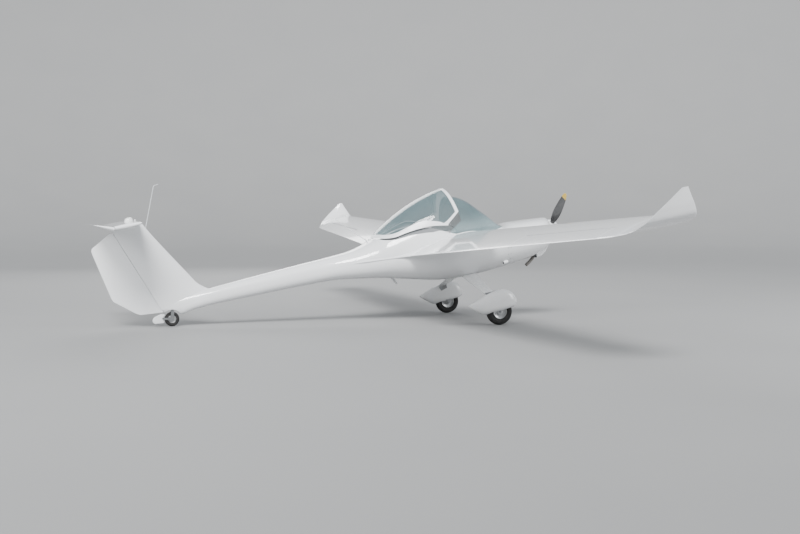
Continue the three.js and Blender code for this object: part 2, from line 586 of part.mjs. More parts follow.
// radius, chord, thickness, pitch in degrees
const BLADE = [[30, 62, 56, 60], [110, 70, 40, 52], [200, 96, 26, 42], [350, 122, 18, 32], [560, 112, 13, 24],
  [740, 84, 9, 19], [830, 52, 6, 17], [PROP_RADIUS, 20, 4, 16]];
function blade(direction) {
  const out = v(0, -Math.cos(BLADE_ANGLE), Math.sin(BLADE_ANGLE)).multiplyScalar(direction);
  const across = v(1, 0, 0).cross(out).normalize();
  return toSolid(loft(BLADE.map(([radius, chord, thick, pitch]) => {
    const turn = THREE.MathUtils.degToRad(pitch);
    return Array.from({ length: 10 }, (_, i) => {
      const angle = 2 * Math.PI * i / 10;
      const [c, t] = [Math.cos(angle) * chord / 2, Math.sin(angle) * thick / 2];
      return v(BLADE_X, 0, THRUST_Z).addScaledVector(out, radius)
        .addScaledVector(v(1, 0, 0), c * Math.sin(turn) + t * Math.cos(turn))
        .addScaledVector(across, c * Math.cos(turn) - t * Math.sin(turn));
    });
  })));
}
const HUB_RADIUS = 46;
const hub = toSolid(bar([BACKPLATE_X, 0, THRUST_Z], [BACKPLATE_X + 10, 0, THRUST_Z],
  SPINNER_RADIUS, SPINNER_RADIUS, 20))
  .add(toSolid(bar([BACKPLATE_X + 5, 0, THRUST_Z], [BLADE_X + 34, 0, THRUST_Z], HUB_RADIUS, HUB_RADIUS, 20)));
addPart('propeller', hub.add(blade(1)).add(blade(-1)), 'black', propeller);
const spinnerBase = BACKPLATE_X + 10 + SEAT_GAP;
const spinnerLength = SPINNER_TIP_X - spinnerBase;
const SPINNER_STEPS = 5;
const spinnerCurve = (scale, length) => Array.from({ length: SPINNER_STEPS + 1 }, (_, i) => {
  const angle = Math.PI / 2 * i / SPINNER_STEPS;
  const radius = i === SPINNER_STEPS ? 0 : scale * Math.cos(angle) ** 1.25;
  return new THREE.Vector2(radius, length * Math.sin(angle));
});
const spinnerProfile = [...spinnerCurve(SPINNER_RADIUS, spinnerLength),
  ...spinnerCurve(SPINNER_RADIUS - 5, spinnerLength - 6).reverse(), new THREE.Vector2(SPINNER_RADIUS, 0)];
const spinnerShell = toSolid(new THREE.LatheGeometry(spinnerProfile, 20).rotateZ(-Math.PI / 2)
  .translate(spinnerBase, 0, THRUST_Z));
const slotReach = v(0, -Math.cos(BLADE_ANGLE), Math.sin(BLADE_ANGLE)).multiplyScalar(150);
const BLADE_SLOT_RADIUS = 42;
const slots = toSolid(bar([BLADE_X, slotReach.y, THRUST_Z + slotReach.z],
  [BLADE_X, -slotReach.y, THRUST_Z - slotReach.z], BLADE_SLOT_RADIUS, BLADE_SLOT_RADIUS, 10));
addPart('spinner', spinnerShell.subtract(slots), 'white', propeller);

// Wings with upswept tips, and the ailerons cut out of them
for (const [name, side] of [['port', 1], ['starboard', -1]]) {
  const rows = WING.map((row, i) => (i === 0 ? [row[0] + SEAT_GAP, ...row.slice(1)] : row));
  const whole = toSolid(loft(rows.map((row) => wingRing(row, side))));
  const sectionAt = (y) => tableAt(WING.slice(0, 4), y);
  const hingeAt = (y) => {
    const [leadX, trailX, trailZ] = sectionAt(y);
    const chord = leadX - trailX;
    const [up, down] = [0.062, 0.012];
    return v(trailX + AILERON_CHORD * chord, side * y, trailZ + (up + down) / 2 * chord);
  };
  const span = (gap) => [hingeAt(AILERON_INNER_Y - gap), hingeAt(AILERON_OUTER_Y + gap)];
  const hole = toSolid(hingeRegion(...span(MOVING_GAP), behind, AILERON_NOSE + MOVING_GAP, 500, 200));
  const piece = toSolid(hingeRegion(...span(0), behind, AILERON_NOSE, 500, 200));
  const eyes = hingeEyes(...span(0), [0.12, 0.88], AILERON_NOSE);
  addPart(`wing_${name}`, whole.subtract(hole).add(eyes.plates), 'white');
  const [inner, outer] = span(0);
  const axis = outer.clone().sub(inner).normalize().multiplyScalar(side);
  const hinge = hingeGroup(`aileron_${name}_hinge`, inner.clone().add(outer).multiplyScalar(0.5), axis, 0);
  addPart(`aileron_${name}`, whole.intersect(piece).subtract(eyes.notches).add(eyes.pins), 'white', hinge);
}

// Rudder, tailplane and elevator
const rudderMiddle = rudderHinge[0].clone().add(rudderHinge[1]).multiplyScalar(0.5);
const rudder = hingeGroup('rudder_hinge', rudderMiddle, rudderAxis, 0);
addPart('rudder', finWhole.intersect(toSolid(sidePrism(RUDDER_OUTLINE, -100, 100))).intersect(rudderNose)
  .subtract(rudderEyes.notches).add(rudderEyes.pins), 'white', rudder);
const elevatorEyes = hingeEyes(...elevatorHinge, [0.16, 0.5, 0.84], ELEVATOR_NOSE);
addPart('tailplane', tailWhole.subtract(toSolid(hingeRegion(...elevatorHinge, behind,
  ELEVATOR_NOSE + MOVING_GAP, 500, 200))).add(elevatorEyes.plates), 'white');
const elevator = hingeGroup('elevator_hinge', v(ELEVATOR_HINGE_X, 0, TAIL_Z), v(0, 1, 0), ELEVATOR_UP);
const elevatorNose = toSolid(hingeRegion(...elevatorHinge, behind, ELEVATOR_NOSE, 500, 200));
addPart('elevator', tailWhole.intersect(elevatorNose).subtract(elevatorEyes.notches)
  .add(elevatorEyes.pins), 'white', elevator);

// Small fittings on the skin
const dome = toSolid(new THREE.SphereGeometry(1, 18, 8).scale(60, 60, 50).translate(-4512, 0, TAIL_Z + 32));
const aboveTail = toSolid(box(-4700, -4300, -100, 100, TAIL_Z, ABOVE));
addPart('beacon', dome.subtract(tailGrown).intersect(aboveTail), 'frame_white');
const probeLow = [-4318, 0, 1990];
const probeHigh = [-4103, 0, 2526];
const probe = toSolid(bar(probeLow, probeHigh, 7, 6, 8))
  .add(toSolid(bar(probeHigh, [-4040, 0, 2537], 6, 5, 8)))
  .add(toSolid(new THREE.SphereGeometry(6.5, 8, 6).translate(...probeHigh)));
addPart('pressure_probe', probe.subtract(finGrown), 'steel');
addPart('whip_antenna', toSolid(bar([-1345, 0, 1215], [-1748, 0, 1616], 5, 3, 8))
  .add(toSolid(bar([-1345, 0, 1195], [-1384, 0, 1268], 24, 7, 10))).subtract(hullGrown), 'white');
addPart('belly_antenna', toSolid(sidePrism([[-1075, 660], [-1030, 548], [-1062, 545], [-1125, 660]], -6, 6))
  .subtract(hullGrown), 'white');

// Main gear: leaf leg, axle with its bracket, spat, rim and tyre on each side
const LEG_ROOT = v(-36, 190, 491);
const LEG_TIP_Y = HALF_TRACK - 92;
const LEG_TIP_Z = 264;
const LEG_POWER = 0.7;       // squareness of the leg's sections
// distance along the leg, chord, thickness
const LEG = [[0, 210, 40], [0.35, 190, 36], [0.7, 165, 30], [1, 140, 26]];
const SPAT = [ // x, low, mid, high, half width
  [-417, 150, 160, 170, 10],
  [-330, 78, 140, 196, 52],
  [-223, 4, 110, 236, 82],
  [-100, 2, 90, 272, 98],
  [0, 4, 85, 289, 104],
  [87, 10, 85, 291, 104],
  [180, 22, 88, 262, 94],
  [240, 40, 95, 205, 68],
  [276, 84, 108, 132, 24],
];
function spatRing(row, side, inset) {
  const [x, low, mid, high, half] = row;
  return Array.from({ length: 14 }, (_, i) => {
    const angle = 2 * Math.PI * i / 14;
    const [c, s] = [Math.cos(angle), Math.sin(angle)];
    const reach = Math.max((s > 0 ? high - mid : mid - low) - inset, 3);
    return v(x, side * HALF_TRACK + Math.sign(c) * Math.abs(c) ** 0.8 * Math.max(half - inset, 3),
      mid + Math.sign(s) * Math.abs(s) ** 0.8 * reach);
  });
}
const tyreProfile = [[96, -34], [118, -50], [150, -TYRE_HALF_WIDTH], [168, -44], [177, -24], [TYRE_RADIUS, 0],
  [177, 24], [168, 44], [150, TYRE_HALF_WIDTH], [118, 50], [96, 34], [96, -34]];
const rimProfile = [[16, -40], [38, -40], [46, -20], [80, -20], [86, -46], [95.7, -46],
  [95.7, 46], [86, 46], [80, 20], [46, 20], [38, 40], [16, 40], [16, -40]];
for (const [name, side] of [['port', 1], ['starboard', -1]]) {
  const legRing = ([t, chord, thick]) => {
    const centre = v(LEG_ROOT.x - 24 * t, side * (LEG_ROOT.y + (LEG_TIP_Y - LEG_ROOT.y) * t),
      LEG_ROOT.z + (LEG_TIP_Z - LEG_ROOT.z) * t);
    return Array.from({ length: 12 }, (_, i) => {
      const angle = 2 * Math.PI * i / 12;
      const [c, s] = [Math.cos(angle), Math.sin(angle)];
      return centre.clone().add(v(Math.sign(c) * Math.abs(c) ** LEG_POWER * chord / 2, 0,
        Math.sign(s) * Math.abs(s) ** LEG_POWER * thick / 2));
    });
  };
  const leg = toSolid(loft(LEG.map(legRing)));
  const legHole = toSolid(loft(LEG.map(([t, chord, thick]) => legRing([t * 1.05, chord + 4, thick + 4]))));
  addPart(`gear_leg_${name}`, leg.subtract(hullGrown), 'white');
  const bracketIn = side * (LEG_TIP_Y + SEAT_GAP);
  const bracketOut = side * (LEG_TIP_Y + 12);
  const bracketOutline = [[-120, 278], [6, 278], [34, 20], [20, -26], [-20, -26], [-34, 20]];
  const [near, far] = [Math.min(bracketIn, bracketOut), Math.max(bracketIn, bracketOut)];
  const bracket = toSolid(sidePrism(bracketOutline, near, far))
    .add(toSolid(bar([0, bracketIn + side * 6, 0], [0, side * (HALF_TRACK + 46), 0], 15.5, 15.5, 20)));
  addPart(`axle_${name}`, bracket, 'steel');
  const bracketGrown = bracketOutline.map(([x, z]) => [x + Math.sign(x) * 2, z + Math.sign(z) * 2]);
  const bracketHole = toSolid(sidePrism(bracketGrown, near - SEAT_GAP, far + SEAT_GAP));
  const spat = toSolid(loft(SPAT.map((row) => spatRing(row, side, 0))))
    .subtract(toSolid(loft(SPAT.map((row) => spatRing([row[0] * 0.975, ...row.slice(1)], side, 7)))))
    .subtract(toSolid(box(-205, 215, side * HALF_TRACK - 76, side * HALF_TRACK + 76, -60, 60)))
    .subtract(legHole).subtract(bracketHole);
  addPart(`spat_${name}`, spat, 'white');
  const wheel = hingeGroup(`wheel_${name}_spin`, v(0, side * HALF_TRACK, 0), v(0, 1, 0), 0);
  const onAxle = (profile) => wheelLathe(profile, WHEEL_SIDES).translate(0, side * HALF_TRACK, 0);
  addPart(`rim_${name}`, onAxle(rimProfile), 'alloy', wheel);
  addPart(`tyre_${name}`, onAxle(tyreProfile), 'rubber', wheel);
}

// Tailwheel: steered fork with its mudguard, rim and tyre
const steer = hingeGroup('tail_steer', v(STEER_X, 0, tailWheel.z), v(0, 0, 1), 0);
const forkTop = tailWheel.z + TAIL_TYRE_RADIUS + 5;
const forkCheek = [[tailWheel.x - 14, tailWheel.z - 16], [tailWheel.x + 16, tailWheel.z - 16],
  [STEER_X + 20, forkTop + 8], [STEER_X - 24, forkTop + 8], [tailWheel.x - 18, tailWheel.z + 24],
  [tailWheel.x - 130, tailWheel.z + 46], [tailWheel.x - 130, tailWheel.z + 24]];
const mudguard = [[-4306, 820], [-4352, 832], [-4440, 810], [-4466, 790], [-4478, 750],
  [-4456, 720], [-4346, 706]];
const fork = toSolid(sidePrism(forkCheek, 34, 40)).add(toSolid(sidePrism(forkCheek, -40, -34)))
  .add(toSolid(box(STEER_X - 24, STEER_X + 20, -40, 40, forkTop, forkTop + 8)))
  .add(toSolid(bar([STEER_X, 0, forkTop + 5], [STEER_X, 0, STEER_TOP], POST_RADIUS, POST_RADIUS, 16)))
  .add(tailBar(40, 9.5, 16));
addPart('tail_fork', fork, 'steel', steer);
addPart('tail_mudguard', toSolid(sidePrism(mudguard, SEAT_GAP - 34, 34 - SEAT_GAP))
  .subtract(tailBar(60, TAIL_TYRE_RADIUS + MOVING_GAP, 32)), 'white', steer);
const tailTyreProfile = [[52, -16], [66, -25], [84, -TAIL_TYRE_HALF_WIDTH], [95, -15], [TAIL_TYRE_RADIUS, 0],
  [95, 15], [84, TAIL_TYRE_HALF_WIDTH], [66, 25], [52, 16], [52, -16]];
const tailRimProfile = [[10, -28], [26, -28], [30, -12], [46, -12], [46, -22], [51.7, -22],
  [51.7, 22], [46, 22], [46, 12], [30, 12], [26, 28], [10, 28], [10, -28]];
const tailSpin = new THREE.Group();
tailSpin.name = 'tail_wheel_spin';
tailSpin.position.copy(tailWheel);
steer.add(tailSpin);
addPart('tail_rim', wheelLathe(tailRimProfile, TAIL_WHEEL_SIDES), 'alloy', tailSpin);
addPart('tail_tyre', wheelLathe(tailTyreProfile, TAIL_WHEEL_SIDES), 'rubber', tailSpin);

// The whole stands over the origin of its own box
const reach = new THREE.Box3().setFromObject(aircraft);
level.position.x = -(reach.min.x + reach.max.x) / 2;

export default aircraft;
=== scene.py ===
"""Looks of a two-seat T-tail touring motor glider, built over its packed mechanical model.

Every surface is worked out from small tables of sections in level axes: x forward of the
main axle, y to port and z above the axle, before the aircraft is pitched to its parked angle.
"""

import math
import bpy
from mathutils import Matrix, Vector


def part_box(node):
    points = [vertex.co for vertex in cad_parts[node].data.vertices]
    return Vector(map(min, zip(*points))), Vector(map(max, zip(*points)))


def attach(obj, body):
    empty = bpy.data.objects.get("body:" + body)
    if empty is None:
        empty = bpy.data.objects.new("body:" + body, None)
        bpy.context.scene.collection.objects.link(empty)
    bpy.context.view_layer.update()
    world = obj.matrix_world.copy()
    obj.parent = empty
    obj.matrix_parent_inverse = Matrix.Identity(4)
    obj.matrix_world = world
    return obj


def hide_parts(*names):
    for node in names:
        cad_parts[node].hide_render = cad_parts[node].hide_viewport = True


bl_info = {
    "name": "Touring motor glider",
    "version": (1, 0, 0),
    "blender": (4, 5, 0),
    "location": "3D View > Sidebar > Glider",
    "description": "Builds the skin, glazing, cockpit, wheels and finishes of a motor glider",
    "category": "Add Mesh",
}

import bpy
import bmesh
import numpy as np
from bpy.props import FloatProperty, FloatVectorProperty, IntProperty, PointerProperty
from bpy.types import Operator, Panel, PropertyGroup
from mathutils import Vector

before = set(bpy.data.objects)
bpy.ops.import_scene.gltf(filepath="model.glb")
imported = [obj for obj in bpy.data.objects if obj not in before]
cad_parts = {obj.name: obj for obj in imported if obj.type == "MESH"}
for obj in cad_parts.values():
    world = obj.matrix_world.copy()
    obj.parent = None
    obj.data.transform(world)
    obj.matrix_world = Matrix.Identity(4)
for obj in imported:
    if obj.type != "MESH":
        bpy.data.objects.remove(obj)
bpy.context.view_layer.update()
MM = 0.001

# Stance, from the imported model: the main axle is at the middle of a tyre
TYRE_LOW, TYRE_HIGH = (np.array(corner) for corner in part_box("tyre_port"))
AXLE = (TYRE_LOW + TYRE_HIGH) / 2 * (1, 0, 1)
HALF_TRACK = (TYRE_LOW[1] + TYRE_HIGH[1]) / 2
TYRE_RADIUS = (TYRE_HIGH[2] - TYRE_LOW[2]) / 2
TYRE_HALF_WIDTH = (TYRE_HIGH[1] - TYRE_LOW[1]) / 2
TAIL_LOW, TAIL_HIGH = (np.array(corner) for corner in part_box("tail_tyre"))
TAIL_WHEEL = (TAIL_LOW + TAIL_HIGH) / 2
TAIL_RADIUS = (TAIL_HIGH[2] - TAIL_LOW[2]) / 2
TAIL_HALF_WIDTH = (TAIL_HIGH[1] - TAIL_LOW[1]) / 2
PARK_ANGLE = math.radians(11)
CANOPY_AJAR = math.radians(6)
ELEVATOR_UP = math.radians(22)
BLADE_ANGLE = math.radians(33)
SIDES = (("port", 1), ("starboard", -1))

# Wall thicknesses and gaps
SKIN = 22 * MM
CANOPY_FRAME = 24 * MM
LAP = 8 * MM
COWL_SKIN = 10 * MM
GLASS = 6 * MM
MOVING_GAP = 6 * MM
SEAT_GAP = 0.3 * MM
# A place past every part of the aircraft, for edges and cuts that aren't there
BEYOND = 9.0
# Pieces with thin edges merge only doubles nearer than this
THIN_WELD = 1e-6

# Hull sections: station x, lowest z, z of the greatest width, highest z, half width
HULL = MM * np.array([
    (-4420, 868, 905, 960, 26),
    (-4230, 820, 895, 985, 48),
    (-4080, 774, 890, 1004, 64),
    (-3900, 800, 905, 1020, 78),
    (-3660, 812, 922, 1034, 94),
    (-3000, 810, 945, 1072, 124),
    (-2400, 804, 955, 1100, 150),
    (-1900, 785, 955, 1122, 192),
    (-1600, 738, 950, 1150, 256),
    (-1330, 692, 945, 1230, 332),
    (-1150, 654, 942, 1340, 386),
    (-800, 566, 936, 1490, 466),
    (-450, 484, 930, 1588, 516),
    (-95, 450, 926, 1627, 536),
    (110, 448, 926, 1555, 534),
    (330, 456, 930, 1345, 518),
    (560, 470, 930, 1096, 488),
    (800, 487, 925, 1083, 445),
    (1050, 526, 918, 1068, 380),
    (1200, 562, 908, 1056, 318),
    (1290, 602, 900, 1048, 256),
    (1360, 655, 893, 1039, 180),
])
HULL_SQUARENESS = 2.25
FIREWALL_X = 0.560
CANOPY_REAR_X = -1.286
HOOP_X = -0.097
HOOP_KNEE_Z = 1.282
HOOP_WIDTH = 0.045
CANOPY_CORNER = (-0.302, 1.160)
SCREEN_CORNER = (-0.290, 1.156)
SCREEN_KNEE = (-0.091, 1.279)
BULKHEAD_X = 0.548
CAVITY_START_X = -1.25
CAVITY_END_X = 0.542
LEVEL_TAIL_WHEEL = (-4.217, 0.736)
TAIL_ARCH = 0.130
FLANGE_END_X = -0.296

# Side lines of the cockpit edge as x, z: the flange's top, the skin's edge, and the pane's edge
RIM = MM * np.array([
    (-1316, 1262), (-1266, 1240), (-1155, 1206), (-1070, 1196), (-980, 1212), (-872, 1250), (-700, 1274),
    (-597, 1272), (-521, 1247), (-384, 1190), (-226, 1117), (-100, 1094), (120, 1062), (350, 1054),
    (548, 1064),
])
STEP = MM * np.array([
    (-1316, 1262), (-1266, 1240), (-1155, 1206), (-1032, 1192), (-876, 1207), (-707, 1210), (-556, 1200),
    (-430, 1172), (-296, 1134),
])
PANE = MM * np.array([
    (-1256, 1300), (-1132, 1256), (-1009, 1250), (-850, 1278), (-691, 1300), (-597, 1298), (-500, 1266),
    (-400, 1224), (-345, 1192), (-142, 1291),
])
CANOPY_HINGE = MM * np.array((-1322, 1240))

# Wing sections: y, leading edge x, trailing edge x, trailing edge z, cant in degrees, thickness ratio
WING = np.array([
    (560, 266, -924, 944, 3, 0.160),
    (2400, 226, -828, 1041, 3, 0.160),
    (4200, 187, -733, 1136, 3, 0.158),
    (5800, 152, -649, 1220, 3, 0.155),
    (6130, 142, -590, 1243, 9, 0.140),
    (6290, 128, -525, 1272, 28, 0.125),
    (6376, 104, -452, 1324, 52, 0.115),
    (6415, 74, -330, 1410, 70, 0.105),
    (6436, 40, -190, 1500, 77, 0.100),
    (6450, 10, -56, 1588, 80, 0.100),
]) * (MM, MM, MM, MM, 1, 1)
# Root fairing sections: y, leading edge x, trailing edge x, trailing edge z
FAIRING = MM * np.array([
    (560, 269, -930, 942),
    (500, 276, -945, 942),
    (430, 286, -1050, 946),
    (360, 296, -1270, 957),
    (290, 300, -1520, 970),
    (215, 300, -1745, 981),
])
FAIRING_THICKNESS = 0.190
ROOT_CANT = math.radians(3)
WING_INCIDENCE = math.radians(1.4)
WING_CAMBER = 0.045
AILERON_INNER = 3.700
AILERON_OUTER = 5.740
AILERON_CHORD = 0.24
AILERON_NOSE = 0.042
AILERON_HEIGHT = 0.037
# Airbrake box on the wing: middle and half length along the span, middle and half width along the chord
AIRBRAKE = (2.75, 0.62, -0.26, 0.045)
ROOT_BEAD_RADIUS = 0.0065
EDGE_BUTTON_Y = 1.640
# Points of a section from its hinge line back
REAR_POINTS = 16

# Fin: z, leading edge x, trailing edge x. Rudder: z, trailing edge x
FIN = MM * np.array([
    (880, -3500, -4880), (1000, -3610, -4904), (1062, -3700, -4916), (1140, -3790, -4932),
    (1262, -3870, -4956), (1829, -4219, -5068), (2100, -4370, -5122),
])
RUDDER = MM * np.array([
    (856, -4352), (864, -4450), (879, -4620), (905, -4668), (1000, -4780), (1121, -4920), (1160, -4936),
    (1480, -5000), (1790, -5060), (1830, -5064), (1862, -5052), (1905, -4980), (1960, -4885), (2008, -4805),
])
FIN_THICKNESS = 0.08
RUDDER_NOSE = 0.042
RUDDER_HINGE = MM * np.array([(898, -4359), (1955, -4765)])
RUDDER_SLOPE = (RUDDER_HINGE[1, 1] - RUDDER_HINGE[0, 1]) / (RUDDER_HINGE[1, 0] - RUDDER_HINGE[0, 0])

# Tailplane: y, leading edge x, trailing edge x
TAIL = MM * np.array([(0, -4392, -5052), (600, -4417, -5052), (1290, -4448, -5052), (1350, -4480, -5040)])
TAIL_Z = 2.096
TAIL_THICKNESS = 0.095
TAIL_TIP = 0.030
ELEVATOR_HINGE_X = -4.812
ELEVATOR_NOSE = 0.024

# Propeller and cowling, along the thrust line
THRUST_Z = 0.900
COWL_FRONT_X = 1.360
BACKPLATE_X = 1.374
SPINNER_TIP_X = 1.545
SPINNER_RADIUS = 0.100
BLADE_X = 1.438
PROP_RADIUS = 0.850
SPLIT_Z = 0.880
# radius, chord, thickness, pitch in degrees
BLADE = np.array([
    (30, 62, 56, 60), (110, 70, 40, 52), (200, 96, 26, 42), (350, 122, 18, 32), (560, 112, 13, 24),
    (740, 84, 9, 19), (830, 52, 6, 17), (850, 20, 4, 16),
]) * (MM, MM, MM, 1)

# Cowling nose: where its rounding starts, the rounding, and the hole round the shaft
NOSE_X = 1.335
NOSE_ROUND = 0.025
SHAFT_HOLE = 0.062
MOUTH_LINE = ((1.366, 0.785), (1.302, 0.620))
CHIN_LINE = MM * np.array([(1291, 664), (1299, 640), (1286, 606), (1230, 545), (1162, 505), (1090, 492)])
CHIN_HALF = 0.125
CHIN_WALL = 0.010
CHIN_ROUND = 0.028

# Spat sections: x, lowest z, z of the greatest width, highest z, half width
SPAT = MM * np.array([
    (-417, 150, 160, 170, 10), (-330, 78, 140, 196, 52), (-223, 4, 110, 236, 82), (-100, 2, 90, 272, 98),
    (0, 4, 85, 289, 104), (87, 10, 85, 291, 104), (180, 22, 88, 262, 94), (240, 40, 95, 205, 68),
    (276, 84, 108, 132, 24),
])
SPAT_POWER = 0.8
SPAT_WALL = 0.007
# Ends and half width of the slot round the tyre
SPAT_SLOT = (-0.205, 0.215)
SPAT_SLOT_HALF = 0.074
LEG_ROOT = (-0.036, 0.190, 0.491)
LEG_TIP = (-0.060, 0.985, 0.264)
# share of the way along the leg, chord, thickness
LEG = np.array([(0, 0.210, 0.040), (0.35, 0.190, 0.036), (0.7, 0.165, 0.030), (1, 0.140, 0.026)])
MUDGUARD = MM * np.array([(-4306, 820), (-4352, 832), (-4440, 810), (-4466, 790), (-4478, 750), (-4456, 720),
                          (-4346, 706)])
MUDGUARD_HALF = 0.0337
MUDGUARD_EDGE = 0.010
MUDGUARD_ARCH = 0.108
# Angles in degrees from which to which the mudguard's arch runs round the tailwheel
MUDGUARD_TURN = (192, 137)
RIM_RADIUS = 0.0965
TAIL_RIM_RADIUS = 0.0525
# Angle in degrees at which a tyre's section ends, its grooves as shares of its half width, and their width
TYRE_TURN = 152
GROOVES = (-0.55, -0.2, 0.2, 0.55)
GROOVE_WIDTH = 0.0025

# Cockpit: side outlines as x, z, and each pad's line, thickness and sewn channels
SEAT_SHELL = MM * np.array([(-60, 445), (-57, 590), (-480, 566), (-590, 622), (-640, 690), (-905, 1104),
                            (-955, 1098), (-700, 560), (-560, 480)])
SEAT_Y = 0.2375
SEAT_HALF = 0.2075
SEAT_PADS = {
    "pan": ((-0.470, 0.570), (-0.062, 0.590), 0.048, (-0.5, 0.0, 0.5)),
    "back": ((-0.600, 0.660), (-0.893, 1.105), 0.046, (-0.62, -0.25, 0.12, 0.5)),
}
PAD_INNER, PAD_OUTER = 0.042, 0.430
CHANNEL_DEPTH = 0.007
PIPING_RADIUS = 0.0035
# Harness: x, share of the strap's offset from the seat's middle line, z
SHOULDER_STRAP = [(-0.905, 1, 1.110), (-0.868, 1, 1.143), (-0.80, 1, 1.078), (-0.68, 1, 0.893),
                  (-0.585, 0.8, 0.742), (-0.500, 0.5, 0.664), (-0.395, 0.3, 0.661)]
HIP_STRAP = [(-0.560, 2.45, 0.640), (-0.500, 2.2, 0.668), (-0.430, 1.2, 0.668), (-0.385, 0.35, 0.664)]
HARNESS_Y = 0.236
STRAP_OFFSET = 0.07
STRAP_WIDTH = 0.044
STRAP_THICKNESS = 0.002
BUCKLE = [(0, 0), (0.026, 0), (0.029, 0.003), (0.029, 0.012), (0.025, 0.015), (0.014, 0.016),
          (0.012, 0.019), (0, 0.019)]
BUCKLE_PLACE = (-0.385, 0.664)
STICK_Y = 0.235
STICK_LINE = [(0.060, 0.462), (0.052, 0.560), (0.034, 0.700), (0.022, 0.815)]
BOOT_LINE = [(0.060, 0.492), (0.058, 0.525), (0.053, 0.580)]
GRIP_LINE = [(0.024, 0.800), (0.019, 0.860), (0.014, 0.918)]
PANEL_SIDE = MM * np.array([(165, 790), (250, 790), (330, 1020), (330, 1050), (150, 1070), (120, 1060),
                            (200, 1040)])
PANEL_HALF = 0.52
PANEL_FACE = MM * np.array([(200, 1040), (165, 790)])
# y, share of the way down the face, radius
DIALS = [(0.30, 0.30, 0.040), (0.19, 0.30, 0.040), (0.08, 0.30, 0.040), (-0.03, 0.30, 0.040),
         (-0.14, 0.30, 0.040), (-0.25, 0.28, 0.029), (-0.33, 0.28, 0.029), (0.25, 0.68, 0.029),
         (0.16, 0.68, 0.029), (0.04, 0.70, 0.040), (-0.08, 0.68, 0.029), (-0.17, 0.68, 0.029)]
DIAL_MARKS = 12

# Canopy's hinge arm as x, z, its stay and the stay's pin as x, y, z, and the eye as radius and y
HINGE_ARM = CANOPY_HINGE + MM * np.array(((-9, -9), (54, -9), (54, 9), (-9, 9)))
HINGE_ARM_HALF = 0.020
STAY_LINE = [(-0.294, -0.455, 1.190), (-0.272, -0.452, 1.166), (-0.175, -0.437, 1.038),
             (-0.150, -0.432, 1.010)]
STAY_RADIUS = 0.005
STAY_PIN = [(-0.290, -0.452, 1.187), (-0.290, -0.484, 1.187)]
STAY_PIN_RADIUS = 0.004
STAY_EYE = [(0.004, -0.003), (0.009, -0.003), (0.009, 0.003), (0.004, 0.003), (0.004, -0.003)]
# Outside fittings: middle lines and outlines as x, z
EXHAUST_LINE = [(1.080, 0.640), (1.076, 0.560), (1.066, 0.495), (1.030, 0.461), (0.985, 0.433),
                (0.945, 0.409)]
EXHAUST_RADIUS = 0.024
EXHAUST_BORE = 0.021
VENT_CENTRE = (0.497, -0.330, 0.560)
VENT_RADII = (0.056, 0.040, 0.032)
# Angle in degrees to which the vent's scoop closes
VENT_TURN = 118
WHIP_LINE = [(-1.345, 1.215), (-1.55, 1.416), (-1.748, 1.616)]
WHIP_RADII = (0.005, 0.0028)
WHIP_FOOT = [(-1.335, 1.180), (-1.358, 1.222), (-1.384, 1.268)]
WHIP_FOOT_RADII = (0.007, 0.026)
BELLY_BLADE = [(-1.075, 0.660), (-1.030, 0.548), (-1.062, 0.545), (-1.125, 0.660)]
BELLY_BLADE_HALF = 0.006
BELLY_BLADE_EDGE = 0.0055
PROBE_LINE = [(-4.322, 1.980), (-4.2, 2.284), (-4.112, 2.503), (-4.100, 2.526), (-4.075, 2.532),
              (-4.040, 2.537)]
# Point of the probe's path, of 60, and its radius there
PROBE_RADII = [(0, 0.0070), (44, 0.0062), (50, 0.0066), (59, 0.0050)]
# Beacon on the tailplane: its base's profile as radius and height, then its dome's radius, foot and
# height; and the same dome figures for the button ahead of it
BEACON_X = -4.512
BEACON_BASE = [(0.0, 0.020), (0.058, 0.020), (0.0600, 0.024), (0.0600, 0.040), (0.0560, 0.042)]
BEACON_DOME = (0.0555, 0.042, 0.040)
BEACON_BUTTON_X = -4.432
BUTTON_DOME = (0.013, 0.026, 0.014)
# Screw heads: radius and height. A row runs along each side of the cowling's split, from and to an x,
# and a ring round each side of the firewall, with their distances from split and firewall
SCREW = (0.0055, 0.0016)
SCREW_ROW = (0.625, 1.235, 9)
SCREW_ROW_OFFSET = 0.030
SCREW_RING = 28
SCREW_RING_OFFSET = 0.022
# Profile of a round head as shares of its radius and of its height
STUD_PROFILE = np.array([(1, -1), (0.97, 0.1), (0.8, 0.62), (0.45, 0.92), (0, 1)])

# Camera: place from the main axle, turn in degrees, lens and sensor in millimetres
CAMERA_PLACE = (-5.998, -16.085, 1.45)
CAMERA_TURN = (87.64, 0, -17)
CAMERA_LENS = 53.4
CAMERA_SENSOR = 36
# name, place, aim, size, power
LIGHTS = [
    ("side_softbox", (-13, -8, 7), (0, 0, 0.8), 7, 1500),
    ("front_softbox", (12, -7, 6), (0, 0, 0.8), 7, 1100),
    ("back_softbox", (1, 15, 9), (0, 0, 1), 9, 900),
]
# Key light, as a wide sun: direction it comes from, strength, and width in degrees
KEY = ((-0.34, -0.78, 0.72), 5.0, 22)
# Sky's colour and strength
SKY = ((0.84, 0.90, 0.97, 1), 0.55)
# The backdrop is a bowl: the radius of its flat, and that of the curve up from there
BOWL = (38.0, 26.0)
MADE = {}


